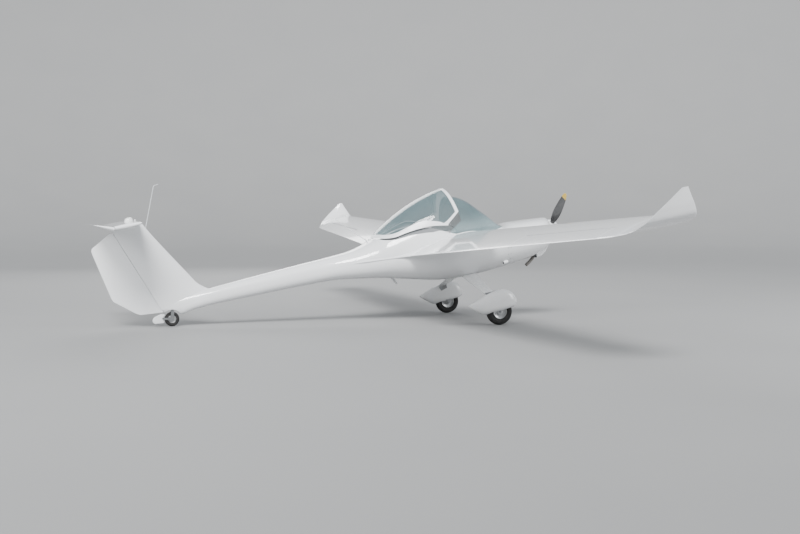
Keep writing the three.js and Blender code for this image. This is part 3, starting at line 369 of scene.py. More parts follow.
class GliderSizes(PropertyGroup):
    """Sizes a user may change"""

    hull_columns: IntProperty(
        name="Hull columns", description="Points round half of a hull section", default=72, min=24, max=160)
    wing_stations: IntProperty(
        name="Wing stations", description="Sections along each wing", default=90, min=20, max=240)
    section_points: IntProperty(
        name="Section points", description="Points from a leading edge to a hinge line", default=26,
        min=8, max=60)
    tip_band: FloatProperty(
        name="Tip band", description="Length of the painted band at each propeller tip", default=0.11,
        min=0.0, max=0.3, unit="LENGTH")
    tread_depth: FloatProperty(
        name="Tread depth", description="Depth of the grooves round each tyre", default=0.003,
        min=0.0, max=0.01, unit="LENGTH")
    seat_crown: FloatProperty(
        name="Seat crown", description="How far a seat cushion rises over its edges", default=0.016,
        min=0.0, max=0.04, unit="LENGTH")


def colour_property(name, description, default):
    """A colour that a user may change."""
    return FloatVectorProperty(name=name, description=description, default=default, size=3, subtype="COLOR")


class GliderColours(PropertyGroup):
    """Colours a user may change"""

    gelcoat: colour_property("Gelcoat", "Moulded white skin", (0.86, 0.875, 0.89))
    gelcoat_shade: colour_property("Gelcoat in dust", "Skin where road dust clings", (0.62, 0.6, 0.55))
    glazing: colour_property("Glazing", "Tint of the canopy", (0.30, 0.52, 0.56))
    propeller: colour_property("Propeller", "Blade paint", (0.012, 0.012, 0.014))
    tip: colour_property("Tip band", "Warning band on the blades", (0.85, 0.55, 0.03))
    upholstery: colour_property("Upholstery", "Woven seat covers", (0.055, 0.07, 0.10))
    trim: colour_property("Cockpit trim", "Painted inner walls", (0.20, 0.21, 0.22))


class Value:
    """A shader socket on which arithmetic is written as ordinary expressions"""

    def __init__(self, finish, socket):
        self.finish, self.socket = finish, socket

    def maths(self, operation, *values):
        return self.finish.node("ShaderNodeMath", {"operation": operation}, dict(enumerate(values)))

    def __add__(self, other):
        return self.maths("ADD", self, other)

    def __sub__(self, other):
        return self.maths("SUBTRACT", self, other)

    def __mul__(self, other):
        return self.maths("MULTIPLY", self, other)

    def __rsub__(self, other):
        return self.maths("SUBTRACT", other, self)

    __radd__ = __add__
    __rmul__ = __mul__

    def size(self):
        return self.maths("ABSOLUTE", self)

    def least(self, other):
        return self.maths("MINIMUM", self, other)

    def most(self, other):
        return self.maths("MAXIMUM", self, other)

    def wave(self, frequency):
        return self.maths("SINE", self * frequency)

    def step(self, low, high):
        """0 below low and 1 above high with a smooth rise between, or the reverse if low is higher."""
        ends = {1: low, 2: high} if low < high else {1: high, 2: low, 3: 1.0, 4: 0.0}
        return self.finish.node("ShaderNodeMapRange", {"interpolation_type": "SMOOTHSTEP"}, {0: self, **ends})

    def near(self, place, width):
        """1 within half a width of a place, falling to 0 at a whole width."""
        return (self - place).size().step(width, width / 2)


class Finish:
    """One material: its nodes are added by expressions, and end in one principled shader"""

    def __init__(self, name):
        self.material = bpy.data.materials.new(name)
        self.material.use_nodes = True
        self.tree = self.material.node_tree
        self.tree.nodes.clear()
        self.place = self.node("ShaderNodeTexCoord", output="Object")

    def node(self, kind, settings=None, inputs=None, output=0):
        """A node of a type, with its settings first and then its sockets' values or links."""
        node = self.tree.nodes.new(kind)
        for key, value in (settings or {}).items():
            setattr(node, key, value)
        for key, value in (inputs or {}).items():
            if isinstance(value, Value):
                self.tree.links.new(value.socket, node.inputs[key])
            else:
                node.inputs[key].default_value = value
        return Value(self, node.outputs[output])

    def level(self):
        """Object coordinates turned back to the level axes, as three values."""
        turned = (AXLE[0] * math.cos(PARK_ANGLE) + AXLE[2] * math.sin(PARK_ANGLE), 0.0,
                  -AXLE[0] * math.sin(PARK_ANGLE) + AXLE[2] * math.cos(PARK_ANGLE))
        place = self.node("ShaderNodeMapping", {"vector_type": "POINT"},
                          {"Vector": self.place, "Location": [-c for c in turned],
                           "Rotation": (0, PARK_ANGLE, 0)})
        return self.parts(place)

    def parts(self, vector):
        return [self.node("ShaderNodeSeparateXYZ", inputs={0: vector}, output=axis) for axis in range(3)]

    def stretched(self, factors):
        return self.node("ShaderNodeVectorMath", {"operation": "MULTIPLY"}, {0: self.place, 1: factors})

    def noise(self, scale, detail=3.0, vector=None):
        return self.node("ShaderNodeTexNoise", inputs={"Vector": vector or self.place, "Scale": scale,
                                                       "Detail": detail, "Roughness": 0.55})

    def cells(self, scale):
        return self.node("ShaderNodeTexVoronoi", inputs={"Vector": self.place, "Scale": scale})

    def blend(self, factor, first, second):
        first, second = ((*c, 1.0) if isinstance(c, (tuple, list)) else c for c in (first, second))
        return self.node("ShaderNodeMix", {"data_type": "RGBA"}, {0: factor, 6: first, 7: second}, output=2)

    def bump(self, height, distance):
        return self.node("ShaderNodeBump", inputs={"Height": height, "Distance": distance, "Strength": 1.0},
                         output="Normal")

    def facing(self, blend=0.5):
        return self.node("ShaderNodeLayerWeight", inputs={"Blend": blend}, output="Facing")

    def shade(self, colour, roughness, **sockets):
        """Ends the material: colours and values become the principled shader's sockets."""
        colour = (*colour, 1.0) if isinstance(colour, (tuple, list)) else colour
        inputs = {"Base Color": colour, "Roughness": roughness}
        inputs.update({name.replace("_", " "): value for name, value in sockets.items()})
        shader = self.node("ShaderNodeBsdfPrincipled", inputs=inputs)
        end = self.tree.nodes.new("ShaderNodeOutputMaterial")
        self.tree.links.new(shader.socket, end.inputs["Surface"])
        return self.material


def sizes():
    return bpy.context.scene.glider_sizes


def chosen(colour):
    """A colour that a user may change, by its name, or a plain colour as it is."""
    return tuple(getattr(bpy.context.scene.glider_colours, colour)) if isinstance(colour, str) else colour


def mixed(first, second, share):
    """A plain colour between two: the share of the second."""
    return tuple((1 - share) * a + share * b for a, b in zip(first, second))


def gelcoat(f):
    """Polished white moulding: faint waviness and orange peel, dust low on the belly and soot aft of
    the exhaust, insect specks on the leading edges, and the hairline round each airbrake box."""
    white, dust = chosen("gelcoat"), chosen("gelcoat_shade")
    x, y, z = f.level()
    cloud = f.noise(1.7, 4.0)
    fine = f.noise(38.0, 5.0)
    low = z.step(0.72, 0.30) * fine.step(0.35, 0.7)
    aft = x.step(1.0, 0.2) * x.step(-2.6, -0.2) * y.size().step(0.22, 0.02) * z.step(0.66, 0.56)
    soot = aft * f.noise(9.0, 4.0, f.stretched((0.25, 2.0, 1.0))).step(0.35, 0.75)
    ahead = x.step(0.12, 0.26) * y.size().step(0.7, 0.9)
    specks = f.cells(70.0).step(0.10, 0.04) * ahead * fine.step(0.5, 0.62)
    along = (y.size() - AIRBRAKE[0]).size() - AIRBRAKE[1]
    chordwise = (x - AIRBRAKE[2]).size() - AIRBRAKE[3]
    seam = along.most(chordwise).near(0.0, 0.0022) * z.step(1.0, 1.02)
    base = f.blend(cloud.step(0.3, 0.75) * 0.25, white, mixed(white, dust, 0.3))
    base = f.blend(low * 0.35 + specks * 0.5, base, dust)
    base = f.blend(soot * 0.45, base, (0.16, 0.15, 0.14))
    base = f.blend(seam * 0.75, base, (0.12, 0.125, 0.13))
    gloss = 0.10 + 0.08 * cloud + 0.25 * low + 0.3 * soot + 0.2 * seam
    height = 0.5 * f.noise(3.2, 2.0) + 0.05 * f.noise(260.0, 2.0) - 0.5 * seam
    return f.shade(base, gloss, Normal=f.bump(height, 0.0012), Coat_Weight=0.7 - 0.5 * low,
                   Coat_Roughness=0.03, IOR=1.5)


def satin_white(f):
    """Painted canopy frame: a little duller than the skin, with handling marks in soft blotches."""
    marks = f.noise(14.0, 5.0)
    base = f.blend(marks.step(0.45, 0.8) * 0.3, chosen("gelcoat"), (0.62, 0.63, 0.64))
    return f.shade(base, 0.24 + 0.16 * marks, Normal=f.bump(f.noise(320.0, 2.0), 0.0004), Coat_Weight=0.25)


def glazing(f):
    """Tinted acrylic: more opaque at glancing angles, with a painted reflection that whitens it low down, and
    polishing haze.
    """
    tint = chosen("glazing")
    haze = f.noise(5.0, 4.0, f.stretched((1.0, 1.0, 2.5)))
    # Painted reflection: below z 1.12, fading out by z 1.40, the pane is mixed towards white and made more
    # opaque, standing in for the ground and sky mirrored in its lower part
    low = f.level()[2].step(1.40, 1.12)
    base = f.blend(low * 0.45 + 0.1 * haze, mixed(tint, (0.0, 0.02, 0.03), 0.7), mixed(tint, (1, 1, 1), 0.35))
    # The low term of the cover is the painted reflection's opacity
    cover = (0.17 + 0.08 * haze + 0.12 * low + 0.5 * f.facing(0.35)).least(0.92)
    return f.shade(base, 0.03 + 0.05 * haze.step(0.5, 0.9), Alpha=cover, Coat_Weight=1.0, Coat_Roughness=0.01,
                   IOR=1.49)


def blade_paint(f, colour):
    """Satin paint on the blades, worn by erosion in fine pits."""
    colour = chosen(colour)
    pits = f.cells(160.0).step(0.22, 0.05) * f.noise(30.0, 3.0).step(0.45, 0.65)
    base = f.blend(pits * 0.5 + 0.12 * f.noise(6.0), colour, mixed(colour, (0.4, 0.38, 0.36), 0.5))
    return f.shade(base, 0.3 + 0.25 * pits, Normal=f.bump(f.noise(420.0, 2.0) - pits, 0.0003),
                   Coat_Weight=0.3, Coat_Roughness=0.12)


def rubber(f):
    """Tyre rubber: grey scuffing in fine grain, and dust caught in patches."""
    grain, patch = f.noise(240.0, 4.0), f.noise(22.0, 4.0)
    base = f.blend(patch.step(0.4, 0.75) * 0.5, (0.012, 0.012, 0.0125), (0.05, 0.047, 0.043))
    return f.shade(base, 0.72 + 0.2 * grain, Normal=f.bump(grain, 0.0006))


def metal(f, colour, roughness, lines, tarnish):
    """Machined or drawn metal: fine lines stretched along one axis, and a tarnish in soft blotches."""
    brushed = f.noise(60.0, 4.0, f.stretched(lines))
    blotch = f.noise(12.0, 5.0)
    base = f.blend(blotch.step(0.4, 0.8) * 0.6, colour, tarnish)
    return f.shade(base, roughness + 0.18 * brushed + 0.12 * blotch,
                   Metallic=0.95 - 0.35 * blotch.step(0.55, 0.9), Normal=f.bump(brushed, 0.0003))


def cast_alloy(f):
    """Engine castings: sand-cast grain over blotched aluminium."""
    grain, blotch = f.noise(180.0, 5.0), f.noise(9.0, 4.0)
    base = f.blend(blotch.step(0.35, 0.8), (0.30, 0.305, 0.31), (0.14, 0.135, 0.13))
    return f.shade(base, 0.45 + 0.25 * grain, Metallic=0.8, Normal=f.bump(grain, 0.0012))


def cloth(f, colour, second, thread):
    """Woven cover: warp and weft are sines of the cover's own two directions whose product makes the
    weave, and the crossing threads differ a little in colour."""
    along, across = f.parts(f.node("ShaderNodeAttribute", {"attribute_name": "cloth"}, output="Vector"))[:2]
    weave = along.wave(2 * math.pi / thread) * across.wave(2 * math.pi / thread)
    wear = f.noise(7.0, 4.0)
    base = f.blend(0.5 + 0.3 * weave, colour, second)
    base = f.blend(wear.step(0.45, 0.8) * 0.35, base, mixed(second, (0.3, 0.3, 0.3), 0.4))
    return f.shade(base, 0.82 + 0.08 * weave, Normal=f.bump(0.5 * weave + 0.5 * wear, 0.0009),
                   Sheen_Weight=0.35)


def upholstery(f):
    """Dark blue-grey seat covers, whose crossing threads are a little greyer."""
    colour = chosen("upholstery")
    return cloth(f, colour, mixed(colour, (0.5, 0.5, 0.5), 0.12), 0.0035)


def moulded(f, colour, grain, distance, roughness):
    """Moulded plastic or painted fibre: a leathery grain of small cells."""
    colour = chosen(colour)
    cells = f.cells(grain)
    cloud = f.noise(8.0, 4.0)
    base = f.blend(cloud.step(0.35, 0.8) * 0.5, colour, mixed(colour, (0.5, 0.5, 0.5), 0.10))
    return f.shade(base, roughness + 0.12 * cloud, Normal=f.bump(cells, distance))


def lamp_cover(f):
    """Milky dome of the beacon: clear over a pale body, with fine vertical flutes."""
    x, y = f.level()[:2]
    flutes = y.wave(900.0) * x.wave(900.0)
    base = f.blend(0.4 + 0.3 * f.noise(40.0), (0.80, 0.82, 0.83), (0.93, 0.93, 0.92))
    return f.shade(base, 0.16 + 0.05 * flutes, Normal=f.bump(flutes, 0.0003), Coat_Weight=0.8)


def floor_paint(f):
    """Pale floor: nearly even, with a trace of trowel marks."""
    cloud = f.noise(0.35, 4.0)
    base = f.blend(cloud, (0.28, 0.283, 0.285), (0.31, 0.31, 0.308))
    return f.shade(base, 0.72 + 0.1 * cloud)


# Each material's maker, with the colours and numbers that it takes
FINISHES = {
    "gelcoat": (gelcoat,),
    "canopy_frame": (satin_white,),
    "glazing": (glazing,),
    "propeller_black": (blade_paint, "propeller"),
    "tip_yellow": (blade_paint, "tip"),
    "rubber": (rubber,),
    "cast_alloy": (cast_alloy,),
    # wheel rims
    "alloy": (metal, (0.62, 0.63, 0.64), 0.22, (1.0, 14.0, 1.0), (0.36, 0.35, 0.33)),
    # fork, axles, stay, screws and buckles
    "steel": (metal, (0.33, 0.34, 0.35), 0.3, (16.0, 1.0, 1.0), (0.17, 0.16, 0.15)),
    # exhaust pipe, greyed by heat, with sooty blotches
    "exhaust": (metal, (0.27, 0.255, 0.24), 0.42, (1.0, 10.0, 1.0), (0.09, 0.075, 0.065)),
    "upholstery": (upholstery,),
    # harness straps
    "webbing": (cloth, (0.10, 0.11, 0.12), (0.18, 0.19, 0.20), 0.0022),
    # painted inner walls of the cockpit and the seat shells
    "cockpit_trim": (moulded, "trim", 420.0, 0.0008, 0.6),
    # instrument panel and glare shield
    "panel": (moulded, (0.022, 0.024, 0.027), 620.0, 0.0006, 0.62),
    # grips, dial faces, piping and the vent's throat
    "control_black": (moulded, (0.014, 0.014, 0.016), 500.0, 0.0005, 0.45),
    # marks and hands of the dials
    "dial_white": (moulded, (0.75, 0.76, 0.74), 300.0, 0.0001, 0.5),
    # grey-white paint on the fin's pressure probe
    "probe": (moulded, (0.52, 0.54, 0.55), 200.0, 0.0002, 0.35),
    "lamp": (lamp_cover,),
    "studio_floor": (floor_paint,),
}


def finish(name):
    """The material of a name in the table, made once."""
    if name not in MADE:
        maker, *values = FINISHES[name]
        MADE[name] = maker(Finish(name), *values)
    return MADE[name]


def curve(table, at):
    """Columns of a table at places in its first column: a cubic between rows whose slope at each row
    is that of the line through the rows on both sides of it."""
    table = table if table[0, 0] < table[-1, 0] else table[::-1]
    x, v = table[:, 0], table[:, 1:]
    slope = np.empty_like(v)
    slope[1:-1] = (v[2:] - v[:-2]) / (x[2:] - x[:-2])[:, None]
    slope[0] = (v[1] - v[0]) / (x[1] - x[0])
    slope[-1] = (v[-1] - v[-2]) / (x[-1] - x[-2])
    at = np.clip(np.asarray(at, float), x[0], x[-1])
    i = np.clip(np.searchsorted(x, at, side="right") - 1, 0, len(x) - 2)
    span = (x[i + 1] - x[i])[..., None]
    t = (at - x[i])[..., None] / span
    value = (v[i] * (2 * t**3 - 3 * t**2 + 1) + slope[i] * span * (t**3 - 2 * t**2 + t)
             + v[i + 1] * (3 * t**2 - 2 * t**3) + slope[i + 1] * span * (t**3 - t**2))
    return np.moveaxis(value, -1, 0)


def signed_power(value, power):
    """A value's size raised to a power, with its sign kept, as superellipses need it."""
    return np.sign(value) * np.abs(value) ** power


def hull_section(x, inset=0.0):
    """Of the hull's section at station x: middle height, half width, and reach down and up from there."""
    low, mid, high, half = curve(HULL, x)
    return mid, half - inset, mid - low - inset, high - mid - inset


def hull(x, angle, inset=0.0):
    """Hull surface in level axes. At station x the section is a superellipse: y is the half width
    times cos to a power, and z is the middle plus the reach times sin to the same power."""
    mid, half, down, up = hull_section(x, inset)
    power = 2 / HULL_SQUARENESS
    c, s = np.cos(angle), np.sin(angle)
    return np.stack(np.broadcast_arrays(x, signed_power(c, power) * half,
                                        mid + signed_power(s, power) * np.where(s > 0, up, down)), -1)


def hull_angle(x, z, inset=0.0):
    """Angle at which the hull's section at x reaches height z: the inverse of the sine's power."""
    mid, _, down, up = hull_section(x, inset)
    share = np.clip(np.abs(z - mid) / np.where(z > mid, up, down), 0, 1)
    return np.arcsin(np.sign(z - mid) * share ** (HULL_SQUARENESS / 2))


def superellipse(share):
    """Height of a superellipse of the hull's squareness at a share of its half width, both up to 1."""
    return (1 - np.clip(share, 0, 1) ** HULL_SQUARENESS) ** (1 / HULL_SQUARENESS)


def hull_half_width(x, z, inset=0.0):
    """Half width of the hull at station x and height z, from the superellipse's equation."""
    mid, half, down, up = hull_section(x, inset)
    return half * superellipse(np.abs(z - mid) / np.where(z > mid, up, down))


def hull_height(x, y):
    """Height of the hull's underside at x and y: the middle less the reach times the superellipse."""
    mid, half, down, _ = hull_section(x)
    return mid - down * superellipse(y / half)


def straight(start, end, at):
    """Second coordinate of the straight line through two points, where the first one is given."""
    return start[1] + (at - start[0]) * (end[1] - start[1]) / (end[0] - start[0])


def pitch(points, about, angle):
    """Points turned nose-up by an angle about the y line through x, z."""
    p = np.array(points, float)
    x, z = p[..., 0] - about[0], p[..., 2] - about[1]
    p[..., 0] = about[0] + x * math.cos(angle) - z * math.sin(angle)
    p[..., 2] = about[1] + x * math.sin(angle) + z * math.cos(angle)
    return p


def to_row(points, hinge=None, turn=0.0):
    """Level axes to the parked aircraft: turned about its own hinge, then pitched about the axle."""
    p = pitch(points, hinge, turn) if hinge is not None else np.array(points, float)
    return pitch(p, (0, 0), PARK_ANGLE) + AXLE


def ajar(points):
    """Points of the canopy, drawn closed, in the pose in which it stands ajar."""
    return to_row(points, CANOPY_HINGE, CANOPY_AJAR)


def grid_faces(rows, columns, loop=False):
    """Quads of a grid of points, where loop joins the last point of each row to its first."""
    i, j = np.meshgrid(np.arange(rows - 1), np.arange(columns if loop else columns - 1), indexing="ij")
    a, b = i * columns + j, i * columns + (j + 1) % columns
    return np.stack((a, b, b + columns, a + columns), -1).reshape(-1, 4)


def normals_of(grid):
    """Unit normals of a grid: the cross product of the differences along its rows and columns."""
    normal = np.cross(np.gradient(grid, axis=0), np.gradient(grid, axis=1))
    length = np.linalg.norm(normal, axis=-1, keepdims=True)
    return np.divide(normal, length, out=np.zeros_like(normal), where=length > 1e-12)


def unit(vectors):
    """Vectors divided by their own lengths."""
    return vectors / np.linalg.norm(vectors, axis=-1, keepdims=True)


def full_turn(count):
    """Angles evenly round a circle, from 0 and short of a whole turn."""
    return np.linspace(0, 2 * np.pi, count, endpoint=False)


def distances(path):
    """Distance of each point of a path from its first one, along straight lines between points."""
    return np.r_[0, np.cumsum(np.linalg.norm(np.diff(path, axis=0), axis=1))]


class Form:
    """Vertices and faces gathered from grids before they become one mesh"""

    def __init__(self):
        self.points, self.faces, self.finishes, self.cloth, self.count = [], [], [], [], 0

    def add(self, points, faces, finish=0, cloth=None):
        """Adds points with faces that count from the first of them, and their places in a cloth."""
        points = np.asarray(points, float).reshape(-1, 3)
        self.points.append(points)
        self.cloth.append(np.zeros_like(points) if cloth is None else np.asarray(cloth).reshape(-1, 3))
        self.faces += [[corner + self.count for corner in face] for face in np.asarray(faces).tolist()]
        self.finishes += [finish] * len(faces)
        self.count += len(points)
        return self

    def sheet(self, grid, loop=False, caps=(False, False), finish=0):
        """A grid as a surface. Caps close its first and last rows with one face each."""
        rows, columns = grid.shape[:2]
        self.add(grid, grid_faces(rows, columns, loop), finish)
        start = self.count - rows * columns
        for row, wanted in ((0, caps[0]), (rows - 1, caps[1])):
            if wanted:
                self.faces.append([start + row * columns + k for k in range(columns)])
                self.finishes.append(finish)
        return self

    def solid(self, grid):
        """A grid whose rows are loops, closed at both ends."""
        return self.sheet(grid, loop=True, caps=(True, True))

    def wall(self, outer, inner, loop=False, keep=None, cloth=None):
        """A closed wall between two grids of one shape: both sides, and a strip along each open edge,
        which is an edge that only one of the kept faces has."""
        rows, columns = outer.shape[:2]
        total = rows * columns
        faces = grid_faces(rows, columns, loop)
        faces = faces if keep is None else faces[np.asarray(keep).ravel()]
        edges = np.stack((faces, np.roll(faces, -1, axis=1)), -1).reshape(-1, 2)
        key, reverse = edges[:, 0] * total + edges[:, 1], edges[:, 1] * total + edges[:, 0]
        rim = edges[~np.isin(key, reverse)]
        strips = np.stack((rim[:, 1], rim[:, 0], rim[:, 0] + total, rim[:, 1] + total), -1)
        both = np.concatenate((outer.reshape(-1, 3), inner.reshape(-1, 3)))
        return self.add(both, np.concatenate((faces, faces[:, ::-1] + total, strips)), cloth=cloth)


def make(name, form, body, finishes, *replaces, slot=None, crease=32.0, weld=2e-5):
    """One mesh object from a form: doubles merged, faces turned outwards and shaded smooth up to
    the crease angle in degrees. The slot argument is not used."""
    mesh = bpy.data.meshes.new(name)
    mesh.from_pydata(np.concatenate(form.points).tolist(), [], form.faces)
    finishes = (finishes,) if isinstance(finishes, str) else finishes
    for material in finishes:
        mesh.materials.append(finish(material))
    mesh.polygons.foreach_set("material_index", form.finishes)
    cloth = np.concatenate(form.cloth)
    if cloth.any():
        mesh.attributes.new("cloth", "FLOAT_VECTOR", "POINT").data.foreach_set("vector", cloth.ravel())
    mesh.polygons.foreach_set("use_smooth", [True] * len(mesh.polygons))
    shape = bmesh.new()
    shape.from_mesh(mesh)
    bmesh.ops.remove_doubles(shape, verts=shape.verts, dist=weld)
    bmesh.ops.dissolve_degenerate(shape, edges=shape.edges, dist=1e-6)
    bmesh.ops.recalc_face_normals(shape, faces=shape.faces)
    shape.to_mesh(mesh)
    shape.free()
    mesh.set_sharp_from_angle(angle=math.radians(crease))
    piece = bpy.data.objects.new(name, mesh)
    bpy.context.scene.collection.objects.link(piece)
    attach(piece, body)
    if replaces:
        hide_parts(*replaces)
    slot or finishes[0]
    return piece


def paint_node(node, name):
    """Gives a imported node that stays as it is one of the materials."""
    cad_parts[node].material_slots[0].material = finish(name)


def frames_along(path):
    """Two unit vectors across a path at each point: the first is the side that stays as level as it
    can, the second completes the three."""
    along = unit(np.gradient(path, axis=0))
    flat = np.where(np.abs(along[:, 2:3]) > 0.95, (1.0, 0.0, 0.0), (0.0, 0.0, 1.0))
    side = unit(np.cross(along, flat))
    return side, np.cross(side, along)


def tube(path, radius, sides=24):
    """Round tube: at each point of the path a circle in the plane across it, whose radius may vary."""
    path = np.asarray(path, float)
    side, up = frames_along(path)
    turn = full_turn(sides)[None, :, None]
    radius = np.broadcast_to(np.asarray(radius, float), (len(path),))[:, None, None]
    return path[:, None] + radius * (np.cos(turn) * side[:, None] + np.sin(turn) * up[:, None])


def smooth_path(corners, count, y=0.0):
    """Path through corners by the table's cubic over its length. Corners of x and z stand at one y."""
    corners = np.asarray(corners, float)
    if corners.shape[1] == 2:
        corners = np.insert(corners, 1, y, axis=1)
    steps = distances(corners)
    return np.moveaxis(curve(np.c_[steps, corners], np.linspace(0, steps[-1], count)), 0, -1)


def lathe(profile, centre, axis, sides=96):
    """Surface of revolution: each profile point is a radius and a distance along the axis, carried
    round the axis through the centre."""
    axis = unit(np.asarray(axis, float))
    side = unit(np.cross(axis, (0.0, 0.0, 1.0) if abs(axis[2]) < 0.9 else (1.0, 0.0, 0.0)))
    up = np.cross(side, axis)
    turn = full_turn(sides)[None, :, None]
    radius, along = np.asarray(profile, float).T[:, :, None, None]
    return np.asarray(centre) + along * axis + radius * (np.cos(turn) * side + np.sin(turn) * up)


def rounded_slab(outline, half, edge, middle=0.0, steps=5):
    """Grid of a flat plate with rounded rims. The side outline is carried across y from one face to
    the other, drawn in by edge * (1 - cos) along its own normals as y nears each face by edge * sin."""
    outline = np.asarray(outline, float)
    ahead, back = np.roll(outline, -1, axis=0), np.roll(outline, 1, axis=0)
    tangent = unit(ahead - back)
    normal = np.stack((tangent[:, 1], -tangent[:, 0]), -1)
    area = (outline[:, 0] * ahead[:, 1] - ahead[:, 0] * outline[:, 1]).sum()
    normal *= np.sign(area)
    turn = np.linspace(np.pi / 2, 0, steps)
    inset = edge * (1 - np.cos(turn))
    across = half - edge + edge * np.sin(turn)
    inset, across = np.r_[inset, inset[::-1]], np.r_[across, -across[::-1]]
    shaped = outline[None] - normal[None] * inset[:, None, None]
    y = np.broadcast_to(middle + across[:, None], shaped.shape[:2])
    return np.stack((shaped[..., 0], y, shaped[..., 1]), -1)


def resample(outline, count, loop=True, round_off=0):
    """Points set evenly along an outline, its corners eased by a running mean."""
    outline = np.asarray(outline, float)
    closed = np.r_[outline, outline[:1]] if loop else outline
    steps = distances(closed)
    at = np.linspace(0, steps[-1], count, endpoint=not loop)
    even = np.stack([np.interp(at, steps, column) for column in closed.T], -1)
    for _ in range(round_off):
        even = (np.roll(even, 1, axis=0) + 2 * even + np.roll(even, -1, axis=0)) / 4
    return even


def section_height(f, face, chord, ratio, camber, incidence):
    """Height of a wing section over its trailing edge at chord fraction f: the camber line, plus or
    minus the half thickness of the usual four-digit polynomial, plus the rise of the incidence."""
    bend = camber * np.where(f < 0.4, (0.8 * f - f * f) / 0.16, (0.2 + 0.8 * f - f * f) / 0.36)
    half = 5 * ratio * (0.2969 * np.sqrt(f) - 0.1260 * f - 0.3516 * f**2 + 0.2843 * f**3 - 0.1015 * f**4)
    half = half + 0.0012 * np.minimum(1, 60 * f)
    return chord * (bend + face * half + (1 - f) * math.tan(incidence))


def hinged_section(chord, ratio, camber, incidence, hinge, hinge_height, nose, end, points):
    """Height function of a section, places where a round nose about its hinge meets both faces, the arc
    between them, and both faces from there to the end. Each face is met at the hinge less the root of
    the nose squared minus the face's offset squared."""
    def height(f, face):
        return section_height(f, face, chord, ratio, camber, incidence)

    meets = [hinge - np.sqrt(np.maximum(nose**2 - (height(hinge / chord, face) - hinge_height) ** 2, 1e-8))
             for face in (1, -1)]
    rises = [height(meet / chord, face) - hinge_height for meet, face in zip(meets, (1, -1))]
    turns = [np.arctan2(rise, meet - hinge) for meet, rise in zip(meets, rises)]
    turns[1] = turns[1] % (2 * np.pi)
    reach = [np.hypot(rise, meet - hinge) for meet, rise in zip(meets, rises)]
    t = np.linspace(0, 1, points)[None]
    turn = turns[0] + (turns[1] - turns[0]) * t
    radius = reach[0] + (reach[1] - reach[0]) * t
    arc = np.stack((hinge + radius * np.cos(turn), hinge_height + radius * np.sin(turn)), -1)
    rear = np.sin(np.linspace(0, np.pi / 2, points // 2))[None]
    faces = []
    for meet, face in zip(meets, (1, -1)):
        f = (meet + (end - meet) * rear) / chord
        line = (height(f, 1) + height(f, -1)) / 2
        close = np.clip((end - f * chord) / 0.006, 0, 1)
        ease = np.sqrt(1 - (1 - close) ** 2)
        faces.append(np.stack((f * chord, line + (height(f, face) - line) * ease), -1))
    skin = np.concatenate((faces[0], faces[1][:, ::-1]), 1)
    return height, meets, arc, skin


def fixed_section(chord, ratio, camber, incidence, hinge, hinge_height, nose, bay, count):
    """Closed section of a surface with a control surface behind it, as distance aft and height. Where
    bay is true it ends in a hollow arc about the hinge, and elsewhere it runs on to its trailing edge."""
    height, meets, arc, skin = hinged_section(chord, ratio, camber, incidence, hinge, hinge_height,
                                              nose, chord, REAR_POINTS)
    front = 1 - np.cos(np.linspace(0, np.pi / 2, count))[None]
    upper, lower = front * meets[0] / chord, front[:, ::-1] * meets[1] / chord
    parts = (np.stack((lower * chord, height(lower, -1)), -1)[:, :-1],
             np.stack((upper * chord, height(upper, 1)), -1)[:, :-1],
             np.where(np.asarray(bay)[:, None, None], arc, skin))
    return np.concatenate(parts, 1)


def moving_section(chord, ratio, camber, incidence, hinge, hinge_height, nose, end):
    """Closed section of a control surface: its two faces back to the trailing edge and a round nose."""
    arc, skin = hinged_section(chord, ratio, camber, incidence, hinge, hinge_height,
                               nose, end, 2 * REAR_POINTS)[2:]
    return np.concatenate((skin, arc[:, ::-1][:, 1:-1]), 1)


def upright(lead, loop, z):
    """Sections of the fin or rudder in space: each lies level at its z, and runs back from its leading
    edge."""
    return np.stack((lead - loop[..., 0], loop[..., 1], z + 0 * loop[..., 0]), -1)


def spaced(*spans):
    """Stations in one rising row from spans of start, end and count, with doubles removed."""
    places = np.concatenate([np.linspace(start, end, count) for start, end, count in spans])
    return np.unique(np.round(places, 6))


def edge_height(x):
    """Height of the hull's cut edge: the step line under the canopy, then the rim under the windscreen,
    and beyond any hull height where the hull is closed."""
    step, rim = curve(STEP, x)[0], curve(RIM, x)[0]
    return np.where(x < STEP[0, 0], BEYOND, np.where(x < FLANGE_END_X, step, rim))


def rudder_hinge_x(z):
    """x of the rudder's hinge line at a height."""
    return RUDDER_HINGE[0, 1] + (z - RUDDER_HINGE[0, 0]) * RUDDER_SLOPE


def rudder_groove(y, z):
    """x of the hollow round the rudder's nose: the hinge line's x at that height plus the half chord
    of the groove at that y, stretched for the hinge's slope."""
    radius = RUDDER_NOSE + MOVING_GAP
    return rudder_hinge_x(z) + math.hypot(1, RUDDER_SLOPE) * np.sqrt(np.maximum(radius**2 - y**2, 0))


def edge_angle(x):
    """Angle of the hull's cut edge, or of the top of the section where the hull is closed."""
    return np.minimum(hull_angle(x, edge_height(x)), np.pi / 2)


def outer_hull(stations, columns):
    """Hull skin from the starboard edge round the keel to the port edge. Points under the tail wheel
    are lifted to the arch, whose height is the root of its radius squared less the distance squared."""
    x = stations[:, None]
    top = edge_angle(x)
    share = np.linspace(0, 1, columns)[None]
    port = -np.pi / 2 + (top + np.pi / 2) * (share * 0.55 + 0.45 * share**2 * (3 - 2 * share))
    angles = np.concatenate((np.pi - port[:, ::-1], port[:, 1:]), 1)
    grid = hull(x, angles)
    away = grid[..., 0] - LEVEL_TAIL_WHEEL[0]
    arch = LEVEL_TAIL_WHEEL[1] + np.sqrt(np.maximum(TAIL_ARCH**2 - away**2, 0))
    grid[..., 2] = np.where(np.abs(away) < TAIL_ARCH, np.maximum(grid[..., 2], arch), grid[..., 2])
    return grid


